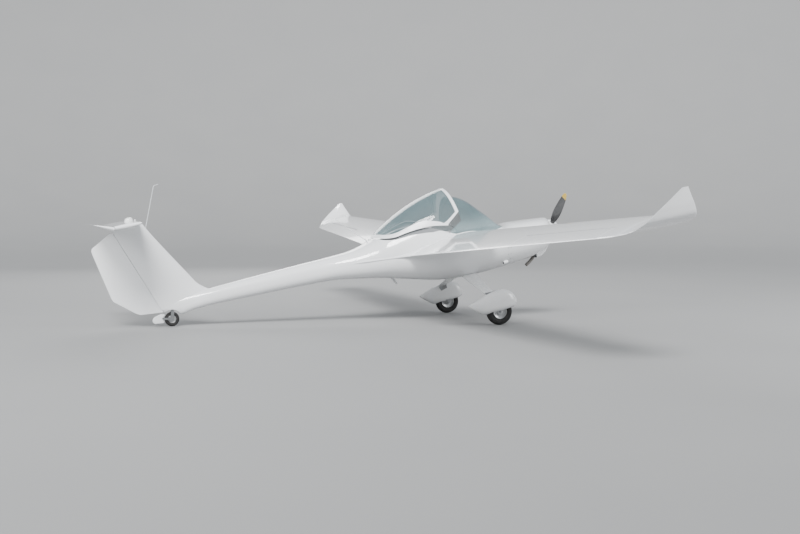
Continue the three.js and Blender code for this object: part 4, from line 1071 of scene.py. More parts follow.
def inner_hull(stations, columns):
    """Flange and inner wall from the port edge over the rim, down round the keel and up to starboard:
    inset by the lap from the skin's edge to the rim, then by the skin's thickness."""
    x = stations[:, None]
    lap = LAP + MOVING_GAP
    rim = curve(RIM, x)[0]
    edge = np.minimum(edge_height(x), rim)
    flange = np.concatenate([hull_angle(x, edge + (rim - edge) * t, lap) for t in (0, 0.5, 1)], 1)
    top = hull_angle(x, rim, SKIN)
    wall = top + (-np.pi / 2 - top) * np.linspace(0, 1, columns)[None]
    port = np.concatenate((hull(x, flange, lap), hull(x, wall, SKIN)), 1)
    starboard = port[:, -2::-1] * (1, -1, 1)
    first = hull(x, edge_angle(x))
    return np.concatenate((first, port, starboard, first * (1, -1, 1)), 1)


def rows_at(table, index):
    """Columns of a table at places counted in rows, ready to spread over points."""
    return curve(np.c_[np.arange(len(table)), table], index)[..., None]


def wing_root_fairing(side):
    """Root fairing: wing sections lofted over its table, whose thickness stays that of the root. Its last
    rows close to its mean line, and what lies inside the hull is brought into the skin, below the rim."""
    index = np.r_[np.linspace(0, len(FAIRING) - 1, 40), np.full(4, len(FAIRING) - 1)]
    depth = np.r_[np.ones(40), 0.75, 0.5, 0.25, 0.01][:, None]
    y, lead, trail, trail_z = rows_at(FAIRING, index)
    chord = lead - trail
    f = (1 - np.cos(np.linspace(0, np.pi, 60)))[None] / 2
    ratio = FAIRING_THICKNESS / chord
    lower = section_height(f[:, ::-1], -1, chord, ratio, WING_CAMBER, WING_INCIDENCE)
    upper = section_height(f, 1, chord, ratio, WING_CAMBER, WING_INCIDENCE)
    aft = np.concatenate((f[:, ::-1], f[:, 1:-1]), 1) * chord
    mean = (lower[:, ::-1] + upper) / 2
    mean = np.concatenate((mean[:, ::-1], mean[:, 1:-1]), 1)
    rise = mean + (np.concatenate((lower, upper[:, 1:-1]), 1) - mean) * depth
    x, y, z = lead - aft, y - rise * math.sin(ROOT_CANT), trail_z + rise * math.cos(ROOT_CANT)
    z = np.where(y < hull_half_width(x, z, SKIN / 2), np.minimum(z, curve(RIM, x)[0] - 2 * MM), z)
    return np.stack((x, side * np.maximum(y, hull_half_width(x, z, SKIN / 2)), z), -1)


def fin_sections(heights, points):
    """Fin ahead of the rudder: symmetric sections across z, hollowed round the rudder's nose."""
    z = heights[:, None]
    lead, trail = curve(FIN, z)
    loop = fixed_section(lead - trail, FIN_THICKNESS, 0.0, 0.0, lead - rudder_hinge_x(z), 0.0,
                         RUDDER_NOSE + MOVING_GAP, np.ones(len(heights), bool), points)
    return upright(lead, loop, z)


class GLIDER_OT_hull(Operator):
    """Hull with its cockpit edge, inner walls, root fairings and fin"""

    bl_idname = "glider.hull"
    bl_label = "Hull and fin"

    def execute(self, context):
        columns = sizes().hull_columns
        stations = spaced((-4.335, -4.09, 44), (-4.09, -1.33, 110), (-1.33, -1.15, 36),
                          (-1.15, BULKHEAD_X, 90), (FLANGE_END_X - 0.004, FLANGE_END_X + 0.004, 5),
                          (CAVITY_START_X, CAVITY_START_X, 1))
        outer = outer_hull(stations, columns)
        tail = outer[0] * np.stack((np.ones(6), np.linspace(0, 1, 6), np.ones(6)), -1)[:, None]
        outer = np.concatenate((tail[:-1], outer))
        outer[..., 0] = np.maximum(outer[..., 0], rudder_groove(outer[..., 1], outer[..., 2]))
        form = Form().sheet(to_row(outer), caps=(False, True))
        deck = stations[(stations > -1.31) & (stations <= CAVITY_START_X + 0.0001)][:, None]
        edges = hull(deck, edge_angle(deck))
        form.sheet(to_row(np.concatenate((edges, edges * (1, -1, 1)), 1)))
        open_stations = stations[(stations > CAVITY_START_X - 0.0001) & (stations < CAVITY_END_X)]
        open_stations = np.r_[open_stations, CAVITY_END_X]
        form.sheet(to_row(inner_hull(open_stations, columns)), caps=(True, True), finish=1)
        slab_ends = np.array((BULKHEAD_X + 0.0002, FIREWALL_X))[:, None]
        form.solid(to_row(hull(slab_ends, full_turn(2 * columns)[None])))
        for _, side in SIDES:
            form.solid(to_row(wing_root_fairing(side)))
        form.solid(to_row(fin_sections(spaced((0.88, 1.15, 40), (1.15, TAIL_Z, 60)), 40)))
        make("hull_skin", form, "airframe", ("gelcoat", "cockpit_trim"), "fuselage", "tail_boom", "firewall")
        return {"FINISHED"}


def shell_columns(lower, middle, upper, counts):
    """Angles across a shell above the hull's edge: from the lower edge to a middle line and on to an
    upper one, then over the crown, and the same down the other side."""
    spans = [low + (high - low) * np.linspace(0, 1, count)[None]
             for low, high, count in ((lower, middle, counts[0]), (middle, upper, counts[1]))]
    side = np.concatenate(spans, 1)
    crown = upper + (np.pi - 2 * upper) * np.linspace(0, 1, counts[2])[None]
    return np.concatenate((side, crown[:, 1:-1], np.pi - side[:, ::-1]), 1)


def crown_faces(x, columns, counts, end):
    """True for the faces of a shell that lie between its two upper lines and aft of a station."""
    side = counts[0] + counts[1] - 1
    column = np.arange(columns - 1)[None]
    return (column >= side) & (column < columns - 1 - side) & (x[:-1] < end)


class GLIDER_OT_canopy(Operator):
    """Ajar canopy: its white frame, the tinted pane within it, and its stay"""

    bl_idname = "glider.canopy"
    bl_label = "Canopy"

    def execute(self, context):
        corner, knee = CANOPY_CORNER, (HOOP_X, HOOP_KNEE_Z)
        stations = spaced((CANOPY_REAR_X, -1.18, 40), (-1.18, corner[0] - 0.0004, 90),
                          (corner[0], HOOP_X, 30))
        hoop = HOOP_X - HOOP_WIDTH
        stations = np.unique(np.r_[stations[np.abs(stations - hoop) > 0.002], hoop])
        x = stations[:, None]
        lower_z = np.where(x < corner[0], curve(STEP, x)[0] + MOVING_GAP, straight(corner, knee, x))
        lap_z = np.maximum(lower_z, curve(RIM, x)[0] + MOVING_GAP)
        depth = np.clip(curve(HULL, x)[2] - lap_z - 2 * MM, MM / 2, CANOPY_FRAME)
        thin = np.minimum(depth, LAP)
        bottom, ledge = hull_angle(x, lower_z, thin), hull_angle(x, lap_z, depth)
        at_hoop = hull_angle(np.array([[hoop]]), PANE[-1, 1])
        upper = np.maximum(np.where(x > hoop, at_hoop, hull_angle(x, curve(PANE, x)[0])), ledge)
        counts = (5, 12, 90)
        angles = shell_columns(hull_angle(x, lower_z), hull_angle(x, lap_z), upper, counts)
        within = shell_columns(bottom, hull_angle(x, lap_z, thin), upper, counts)
        above = shell_columns(bottom, ledge, upper, counts)
        columns = angles.shape[1]
        from_middle = np.abs(np.arange(columns) - (columns - 1) / 2)
        lapped = from_middle > (columns - 1) / 2 - counts[0]
        outer = ajar(hull(x, angles))
        inner = ajar(hull(x, np.where(lapped, within, above), np.where(lapped, thin, depth)))
        pane = crown_faces(x, columns, counts, hoop - 1e-6)
        form = Form().wall(outer, inner, keep=~pane)
        form.solid(ajar(rounded_slab(resample(HINGE_ARM, 24), HINGE_ARM_HALF, edge=0.003)))
        make("canopy_frame_shell", form, "canopy", "canopy_frame", "canopy_frame")
        glass = ajar(hull(x, angles, GLASS))
        make("canopy_pane", Form().wall(outer, glass, keep=pane), "canopy", "glazing", "canopy_glass")
        form = Form().solid(ajar(tube(smooth_path(STAY_LINE, 24), STAY_RADIUS, sides=20)))
        form.solid(ajar(tube(STAY_PIN, STAY_PIN_RADIUS, sides=16)))
        form.sheet(ajar(lathe(STAY_EYE, STAY_LINE[-1], (0, 1, 0), sides=32)), loop=True)
        make("canopy_stay_rod", form, "canopy", "steel", "canopy_stay")
        return {"FINISHED"}


class GLIDER_OT_windscreen(Operator):
    """Fixed windscreen, frameless, from the canopy's front hoop down to the cowling"""

    bl_idname = "glider.windscreen"
    bl_label = "Windscreen"

    def execute(self, context):
        foot, knee = SCREEN_CORNER, SCREEN_KNEE
        stations = spaced((foot[0], knee[0], 30), (knee[0] + 0.0004, BULKHEAD_X - SEAT_GAP, 70))
        x = stations[:, None]
        rim = hull_angle(x, curve(RIM, x)[0] + SEAT_GAP)
        knee_angle = hull_angle(np.array([[knee[0]]]), knee[1])
        upper = np.where(x <= knee[0], hull_angle(x, straight(foot, knee, x)), knee_angle)
        upper = np.maximum(upper, rim)
        counts = (2, 24, 90)
        angles = shell_columns(rim, rim + 0.004 * (upper - rim), upper, counts)
        outer, inner = (to_row(hull(x, angles, inset)) for inset in (0.0, GLASS))
        crown = crown_faces(x, angles.shape[1], counts, knee[0] + 0.0002)
        form = Form().wall(outer, inner, keep=~crown)
        make("windscreen_pane", form, "airframe", "glazing", "windscreen")
        return {"FINISHED"}


def mouth_plane(z):
    """x of the oblique cut of the intake's mouth at a height, which is nowhere above its top."""
    (top_x, top_z), (low_x, low_z) = MOUTH_LINE
    x = straight((low_z, low_x), (top_z, top_x), np.maximum(z, low_z))
    return np.where(z < top_z, x, BEYOND)


def round_way(start, share, upward):
    """Angles from a split line over the crown, or under the keel, to the same height opposite."""
    return start + (np.pi - 2 * start) * share if upward else start - (np.pi + 2 * start) * share


def cowl_grid(upward, columns, inset):
    """Upper or lower half of the cowling. The nose is rounded by a quarter circle in x and inset, and
    its front face runs in straight lines from there to the circle round the shaft."""
    turn = np.linspace(0, np.pi / 2, 8)[1:, None]
    body_x = np.linspace(FIREWALL_X + SEAT_GAP, NOSE_X, 60)[:, None]
    x = np.concatenate((body_x, NOSE_X + NOSE_ROUND * np.sin(turn)))
    drawn = np.concatenate((0 * body_x, NOSE_ROUND * (1 - np.cos(turn)))) + inset
    split = SPLIT_Z + (SEAT_GAP if upward else -SEAT_GAP)
    share = np.linspace(0, 1, columns)[None]
    angles = round_way(hull_angle(x, split, drawn), share, upward)
    body = hull(x, angles, drawn)
    round_shaft = round_way(np.arcsin((split - THRUST_Z) / SHAFT_HOLE), share, upward)
    circle = np.stack((0 * round_shaft, SHAFT_HOLE * np.cos(round_shaft),
                       THRUST_Z + SHAFT_HOLE * np.sin(round_shaft)), -1)
    inward = np.linspace(0, 1, 10)[1:, None, None]
    face = body[-1:] * (1 - inward) + circle * inward
    face[..., 0] = body[-1, 0, 0]
    grid = np.concatenate((body, face))
    grid[..., 0] = np.minimum(grid[..., 0], COWL_FRONT_X - inset)
    return grid


def chin_wall(inset):
    """Chin scoop: a trough whose lower corners are quarter circles, along the chin's line. Its sides
    rise to just inside the cowling."""
    line = resample(CHIN_LINE, 60, loop=False)
    line[1:-1] = (line[:-2] + 2 * line[1:-1] + line[2:]) / 4
    x, z = line[:, :1], line[:, 1:]
    half, radius = CHIN_HALF - inset, CHIN_ROUND - inset
    turn = np.linspace(0, np.pi / 2, 10)[None]
    side_top = np.maximum(hull_height(x, CHIN_HALF) + 0.006, z + radius + 0.004)
    corner_y = half - radius + radius * np.cos(turn)
    corner_z = z + inset + radius - radius * np.sin(turn)
    y = np.concatenate((half + 0 * x, corner_y + 0 * x, -corner_y[:, ::-1] + 0 * x, -half + 0 * x), 1)
    height = np.concatenate((side_top, corner_z, corner_z[:, ::-1], side_top), 1)
    return np.stack((x + 0 * y, y, height), -1)


class GLIDER_OT_cowls(Operator):
    """Upper and lower cowlings, the intake's mouth and the chin scoop below it"""

    bl_idname = "glider.cowls"
    bl_label = "Cowlings"

    def execute(self, context):
        columns = 2 * sizes().hull_columns
        form = Form().wall(*(to_row(cowl_grid(True, columns, inset)) for inset in (0.0, COWL_SKIN)))
        make("cowl_upper_skin", form, "airframe", "gelcoat", "cowl_upper")
        outer, inner = (cowl_grid(False, columns, inset) for inset in (0.0, COWL_SKIN))
        cut = outer[..., 0] > mouth_plane(outer[..., 2])
        gone = cut[:-1, :-1] & cut[1:, :-1] & cut[:-1, 1:] & cut[1:, 1:]
        for grid in (outer, inner):
            grid[..., 0] = np.minimum(grid[..., 0], mouth_plane(grid[..., 2]))
        form = Form().wall(to_row(outer), to_row(inner), keep=~gone)
        form.wall(*(to_row(chin_wall(inset)) for inset in (0.0, CHIN_WALL)))
        make("cowl_lower_skin", form, "airframe", "gelcoat", "cowl_lower")
        paint_node("engine_block", "cast_alloy")
        return {"FINISHED"}


def wing_rows(index):
    """Wing table at index values, as columns: y, leading x, trailing x, trailing z, cant, ratio."""
    rows = rows_at(WING, index)
    rows[4] = np.radians(rows[4])
    return rows


def wing_index(y):
    """Index at which the wing's table reaches a place along the span."""
    fine = np.linspace(0, len(WING) - 1, 4000)
    return np.interp(y, wing_rows(fine)[0][:, 0], fine)


def wing_surface(index, side, section):
    """Wing sections in space: each runs back from its leading edge and stands off its trailing edge
    along the direction that its cant turns inwards."""
    y, lead, trail, trail_z, cant, ratio = wing_rows(index)
    chord = lead - trail
    hinge = (1 - AILERON_CHORD) * chord
    loop = section(chord, ratio, hinge, AILERON_HEIGHT * chord)
    return np.stack((lead - loop[..., 0], side * (y - loop[..., 1] * np.sin(cant)),
                     trail_z + loop[..., 1] * np.cos(cant)), -1)


class GLIDER_OT_wings(Operator):
    """Wings with upswept tips, and their ailerons"""

    bl_idname = "glider.wings"
    bl_label = "Wings and ailerons"

    def execute(self, context):
        last = len(WING) - 1
        ends = wing_index(np.array((AILERON_INNER - MOVING_GAP, AILERON_OUTER + MOVING_GAP)))
        even = spaced((0, 3, sizes().wing_stations // 2), (3, last, sizes().wing_stations))
        even = even[np.abs(even[:, None] - ends).min(1) > 1e-3]
        even[0] = wing_index(WING[0, 0] + SEAT_GAP)
        index = np.sort(np.r_[even, ends, ends])
        bay = (index > ends[0]) & (index < ends[1])
        bay[np.flatnonzero(index == ends[0])[1]] = bay[np.flatnonzero(index == ends[1])[0]] = True
        points = sizes().section_points
        span = wing_index(np.linspace(AILERON_INNER, AILERON_OUTER, 50))

        def fixed(chord, ratio, hinge, height):
            return fixed_section(chord, ratio, WING_CAMBER, WING_INCIDENCE, hinge, height,
                                 AILERON_NOSE + MOVING_GAP, bay, points)

        def moving(chord, ratio, hinge, height):
            return moving_section(chord, ratio, WING_CAMBER, WING_INCIDENCE, hinge, height,
                                  AILERON_NOSE, chord)

        for name, side in SIDES:
            wing = Form().solid(to_row(wing_surface(index, side, fixed)))
            make(f"wing_{name}_skin", wing, "airframe", "gelcoat", f"wing_{name}", weld=THIN_WELD)
            aileron = Form().solid(to_row(wing_surface(span, side, moving)))
            make(f"aileron_{name}_skin", aileron, f"aileron_{name}", "gelcoat", f"aileron_{name}",
                 weld=THIN_WELD)
        return {"FINISHED"}


class GLIDER_OT_tail(Operator):
    """Rudder, tailplane, and the elevator raised as parked"""

    bl_idname = "glider.tail"
    bl_label = "Tail surfaces"

    def execute(self, context):
        z = spaced((RUDDER[0, 0], 0.90, 16), (0.90, 1.80, 60), (1.80, RUDDER[-1, 0], 30))[:, None]
        lead, trail = curve(FIN, z)
        end = np.interp(z, RUDDER[:, 0], RUDDER[:, 1])
        loop = moving_section(lead - trail, FIN_THICKNESS, 0.0, 0.0, lead - rudder_hinge_x(z), 0.0,
                              RUDDER_NOSE, lead - end)
        rudder = Form().solid(to_row(upright(lead, loop, z)))
        make("rudder_skin", rudder, "rudder", "gelcoat", "rudder", weld=THIN_WELD)
        turn = np.linspace(0, np.pi / 2, 9)
        tip = TAIL[-1, 0] - TAIL_TIP * (1 - np.sin(turn))
        half = np.r_[np.linspace(0, TAIL[-1, 0] - TAIL_TIP, 40)[:-1], tip]
        thin = np.r_[np.ones(39), np.maximum(np.cos(turn), 0.02)]
        y, thin = (np.r_[sign * a[:0:-1], a][:, None] for sign, a in ((-1, half), (1, thin)))
        lead, trail = curve(TAIL, np.abs(y))
        chord = lead - trail
        ratio = TAIL_THICKNESS * thin
        hinge = lead - ELEVATOR_HINGE_X
        fixed = fixed_section(chord, ratio, 0.0, 0.0, hinge, 0.0, ELEVATOR_NOSE + MOVING_GAP,
                              np.ones(len(y), bool), 30)
        moving = moving_section(chord, ratio, 0.0, 0.0, hinge, 0.0, ELEVATOR_NOSE, chord)
        fixed, moving = (np.stack((lead - loop[..., 0], y + 0 * loop[..., 0], TAIL_Z + loop[..., 1]), -1)
                         for loop in (fixed, moving))
        raised = to_row(moving, (ELEVATOR_HINGE_X, TAIL_Z), -ELEVATOR_UP)
        make("tailplane_skin", Form().solid(to_row(fixed)), "airframe", "gelcoat", "tailplane",
             weld=THIN_WELD)
        make("elevator_skin", Form().solid(raised), "elevator", "gelcoat", "elevator", weld=THIN_WELD)
        return {"FINISHED"}


def wheel(centre, radius, half_width, bead, bolts, name, body, nodes):
    """Tyre and rim about the y axis. The tyre's section is a superellipse about the middle of its
    height, less a narrow dip at each groove; the rim is a revolved profile with a ring of bolts."""
    turn = np.radians(np.linspace(-TYRE_TURN, TYRE_TURN, 181))
    middle = (radius + bead) / 2 - 0.002
    across = half_width * signed_power(np.sin(turn), 0.9)
    out = middle + (radius - middle) * signed_power(np.cos(turn), 0.8)
    for groove in GROOVES:
        away = np.abs(across - groove * half_width) / GROOVE_WIDTH
        out -= np.where(np.cos(turn) > 0.2, sizes().tread_depth * np.clip(1.5 - away, 0, 1), 0)
    inside = [(bead, across[-1] * 0.9), (bead, across[0] * 0.9), (out[-1], across[0])]
    profile = np.r_[np.c_[out, across], inside]
    tyre = lathe(profile, centre, (0, 1, 0), sides=128)
    make(f"{name}_tyre", Form().sheet(tyre, loop=True), body, "rubber", nodes[1])
    edge, deep = half_width * 0.82, half_width * 0.34
    side = [(bead * 0.17, edge * 0.88), (bead * 0.34, edge * 0.9), (bead * 0.40, edge * 0.84),
            (bead * 0.46, deep * 1.2), (bead * 0.52, deep), (bead * 0.76, deep), (bead * 0.84, deep * 1.25),
            (bead * 0.88, edge * 0.86), (bead * 0.91, edge * 0.97), (bead * 0.96, edge),
            (bead * 0.996, edge * 0.96)]
    side = np.array(side)
    loop = np.r_[side, side[::-1] * (1, -1), side[:1]]
    form = Form().sheet(lathe(loop, centre, (0, 1, 0)), loop=True)
    size = bead * 0.05
    cap = [(0, deep * 0.9), (size, deep * 0.9), (size, deep + size * 1.2), (size * 0.8, deep + size * 1.5),
           (0, deep + size * 1.5)]
    for step in range(bolts):
        angle = 2 * math.pi * (step + 0.5) / bolts
        head = centre + np.array((math.cos(angle), 0, math.sin(angle))) * bead * 0.64
        for face in (1, -1):
            form.sheet(lathe(cap, head, (0, face, 0), sides=6), loop=True)
    make(f"{name}_rim", form, body, "alloy", nodes[0])


def spat_wall(side, inset):
    """Wheel spat: superellipse sections through its table. Its lower edge opens round the tyre by a
    rounded slot, whose half width falls to a hairline at both ends by a fourth-power law."""
    x = spaced((SPAT[0, 0], -0.30, 20), (-0.30, 0.24, 90), (0.24, SPAT[-1, 0], 16))[:, None]
    low, mid, high, half = curve(SPAT, x)
    low, half, high = low + inset, np.maximum(half - inset, 0.003), high - inset
    middle, reach = (SPAT_SLOT[0] + SPAT_SLOT[1]) / 2, (SPAT_SLOT[1] - SPAT_SLOT[0]) / 2
    open_half = SPAT_SLOT_HALF * np.sqrt(np.clip(1 - ((x - middle) / reach) ** 4, 0, 1))
    open_half = np.clip(open_half, 0.0002, half * 0.92)
    start = np.arccos((open_half / half) ** (1 / SPAT_POWER))
    angles = -start + (np.pi + 2 * start) * np.linspace(0, 1, 90)[None]
    c, s = np.cos(angles), np.sin(angles)
    reach_z = np.maximum(np.where(s > 0, high - mid, mid - low), 0.002)
    return np.stack((x + 0 * angles, side * HALF_TRACK + signed_power(c, SPAT_POWER) * half,
                     mid + signed_power(s, SPAT_POWER) * reach_z), -1)


def leg_surface(side):
    """Leaf leg: superellipse sections of its table's chord and thickness, set along a line from the
    hull's underside out and down to the spat."""
    t = np.linspace(0, 1, 40)[:, None]
    chord, thick = curve(LEG, t)
    angle = full_turn(56)[None]
    c, s = np.cos(angle), np.sin(angle)
    root, tip = np.array(LEG_ROOT), np.array(LEG_TIP)
    line = root + (tip - root) * t[..., None]
    return line * (1, side, 1) + np.stack((signed_power(c, 0.7) * chord / 2, 0 * c * t,
                                           signed_power(s, 0.7) * thick / 2), -1)


class GLIDER_OT_main_gear(Operator):
    """Main wheels with their spats, leaf legs and axles"""

    bl_idname = "glider.main_gear"
    bl_label = "Main gear"

    def execute(self, context):
        for name, side in SIDES:
            centre = AXLE + np.array((0, side * HALF_TRACK, 0))
            wheel(centre, TYRE_RADIUS, TYRE_HALF_WIDTH, bead=RIM_RADIUS, bolts=6, name=f"main_{name}",
                  body=f"wheel_{name}", nodes=(f"rim_{name}", f"tyre_{name}"))
            form = Form().wall(*(to_row(spat_wall(side, inset)) for inset in (0.0, SPAT_WALL)))
            make(f"spat_{name}_shell", form, "airframe", "gelcoat", f"spat_{name}", weld=THIN_WELD)
            leg = Form().solid(to_row(leg_surface(side)))
            make(f"gear_leg_{name}_leaf", leg, "airframe", "gelcoat", f"gear_leg_{name}")
            paint_node(f"axle_{name}", "steel")
        return {"FINISHED"}


class GLIDER_OT_tail_gear(Operator):
    """Steered tailwheel with its fork and mudguard"""

    bl_idname = "glider.tail_gear"
    bl_label = "Tailwheel"

    def execute(self, context):
        wheel(TAIL_WHEEL, TAIL_RADIUS, TAIL_HALF_WIDTH, bead=TAIL_RIM_RADIUS, bolts=4, name="tail",
              body="tail_wheel", nodes=("tail_rim", "tail_tyre"))
        x, z = LEVEL_TAIL_WHEEL
        turn = np.radians(np.linspace(*MUDGUARD_TURN, 16))
        arch = np.stack((x + MUDGUARD_ARCH * np.cos(turn), z + MUDGUARD_ARCH * np.sin(turn)), -1)
        outline = resample(np.r_[arch, MUDGUARD], 120, round_off=6)
        guard = Form().solid(to_row(rounded_slab(outline, MUDGUARD_HALF, MUDGUARD_EDGE)))
        make("tail_mudguard_shell", guard, "tail_steering", "gelcoat", "tail_mudguard")
        paint_node("tail_fork", "steel")
        return {"FINISHED"}


def blade_surface(direction, radii):
    """Propeller blade: at each radius an oval of the table's chord and thickness, fuller towards its
    leading edge, turned by the pitch about the radius."""
    chord, thick, angle = curve(BLADE, radii[:, None])
    angle = np.radians(angle)
    out = direction * np.array((0, -math.cos(BLADE_ANGLE), math.sin(BLADE_ANGLE)))
    across = np.cross((1, 0, 0), out)
    turn = full_turn(40)[None]
    c = np.cos(turn) * chord / 2
    t = np.sin(turn) * thick / 2 * (1 + 0.25 * np.cos(turn)) / 1.12
    ahead, sideways = c * np.sin(angle) + t * np.cos(angle), c * np.cos(angle) - t * np.sin(angle)
    return (np.array((BLADE_X, 0, THRUST_Z)) + out * radii[:, None, None]
            + ahead[..., None] * (1, 0, 0) + sideways[..., None] * across)


class GLIDER_OT_propeller(Operator):
    """Two-blade propeller with banded tips, its hub plate and the spinner"""

    bl_idname = "glider.propeller"
    bl_label = "Propeller"

    def execute(self, context):
        band = PROP_RADIUS - sizes().tip_band
        form = Form()
        for direction in (1, -1):
            inner = blade_surface(direction, np.linspace(BLADE[0, 0], band, 70))
            outer = blade_surface(direction, np.r_[band, spaced((band + 0.005, PROP_RADIUS, 26))])
            form.sheet(to_row(inner), loop=True, caps=(True, False))
            form.sheet(to_row(outer), loop=True, caps=(False, True), finish=1)
        hub_length = BLADE_X + 0.034 - BACKPLATE_X
        hub = [(0, 0), (SPINNER_RADIUS - 0.001, 0), (SPINNER_RADIUS, 0.001), (SPINNER_RADIUS, 0.009),
               (SPINNER_RADIUS - 0.001, 0.010), (0.046, 0.010), (0.046, hub_length - 0.003),
               (0.043, hub_length), (0, hub_length)]
        form.sheet(to_row(lathe(hub, (BACKPLATE_X, 0, THRUST_Z), (1, 0, 0))), loop=True)
        make("propeller_blades", form, "propeller", ("propeller_black", "tip_yellow"), "propeller")
        base = BACKPLATE_X + 0.0103
        turn = np.linspace(0, np.pi / 2, 40)
        length = SPINNER_TIP_X - base
        shell = [np.c_[(SPINNER_RADIUS - wall) * np.maximum(np.cos(turn), 0) ** 1.25,
                       (length - wall) * np.sin(turn)] for wall in (0.0, 0.004)]
        profile = np.r_[shell[0], shell[1][::-1], shell[0][:1]]
        profile[[39, 40], 0] = 0
        form = Form().sheet(to_row(lathe(profile, (base, 0, THRUST_Z), (1, 0, 0), sides=128)), loop=True)
        make("spinner_shell", form, "propeller", "gelcoat", "spinner")
        return {"FINISHED"}


def studs(points, outward, radius, height):
    """Round heads on a surface: one small dome, its profile given as shares of radius and height,
    revolved, turned to each outward direction and set at each point."""
    out = unit(outward)
    side = unit(np.cross(out, (0.0, 0.3, 1.0)))
    other = np.cross(out, side)
    reach, lift = STUD_PROFILE.T[:, :, None] * np.array((1.0, height))[:, None, None]
    turn = full_turn(12)
    across, along, up = radius * reach * np.cos(turn), radius * reach * np.sin(turn), lift + 0 * turn
    frame_of = [a[:, None, None, :] for a in (side, other, out)]
    dome = sum(part[None, ..., None] * axis for part, axis in zip((across, along, up), frame_of))
    form = Form()
    for grid in dome + points[:, None, None, :]:
        form.sheet(grid, loop=True, caps=(True, False))
    return form


def hull_with_normal(x, angle):
    """Points of the hull in the row's frame and the outward direction at each."""
    spot = to_row(hull(x, angle))
    along, round_it = to_row(hull(x + 0.004, angle)) - spot, to_row(hull(x, angle + 0.004)) - spot
    return spot, np.cross(along, round_it)


class GLIDER_OT_trim(Operator):
    """Wing root beads, cowl and firewall screws, and the rubber buttons under the trailing edges"""

    bl_idname = "glider.trim"
    bl_label = "Trim and fasteners"

    def execute(self, context):
        y, lead, trail, trail_z, cant, ratio = (value[0] for value in wing_rows(np.array((0.004,))))
        chord = lead - trail
        back = np.linspace(0.09, 1, 90)
        f = np.concatenate((back[::-1] ** 2, np.linspace(0.085, 0, 14)[1:-1] ** 2, back**2))
        upper, lower = (section_height(f, face, chord, ratio, WING_CAMBER, WING_INCIDENCE)
                        for face in (1, -1))
        count = np.arange(len(f))
        rise = np.where(count < len(f) - len(back), upper, lower)
        radius = ROOT_BEAD_RADIUS * np.minimum(1, np.minimum(count, count[::-1]) / 6 + 0.2)
        for name, side in SIDES:
            path = np.stack((lead - f * chord, side * (y + 0.003 - rise * np.sin(cant)),
                             trail_z + rise * np.cos(cant)), -1)
            bead = Form().solid(to_row(tube(path, radius, sides=14)))
            make(f"root_bead_{name}", bead, "airframe", "gelcoat")
            spot = wing_rows(wing_index(np.array((EDGE_BUTTON_Y,))))[:4, 0, 0]
            button = np.array([(spot[1] - 0.985 * (spot[1] - spot[2]), side * spot[0], spot[3] - 0.001)])
            dome = studs(to_row(button), np.array([(0, 0, -1.0)]), radius=0.011, height=0.008)
            make(f"edge_button_{name}", dome, "airframe", "rubber")
        length = np.linspace(*SCREW_ROW)
        ring = full_turn(SCREW_RING) + 0.11
        rows = []
        for sign in (1, -1):
            angle = hull_angle(length, SPLIT_Z + sign * SCREW_ROW_OFFSET)
            rows += [(length, angle), (length, np.pi - angle)]
        rows += [(np.full(SCREW_RING, FIREWALL_X + sign * SCREW_RING_OFFSET), ring) for sign in (1, -1)]
        x, angle = (np.concatenate(parts) for parts in zip(*rows))
        make("cowl_screws", studs(*hull_with_normal(x, angle), *SCREW), "airframe", "steel")
        return {"FINISHED"}


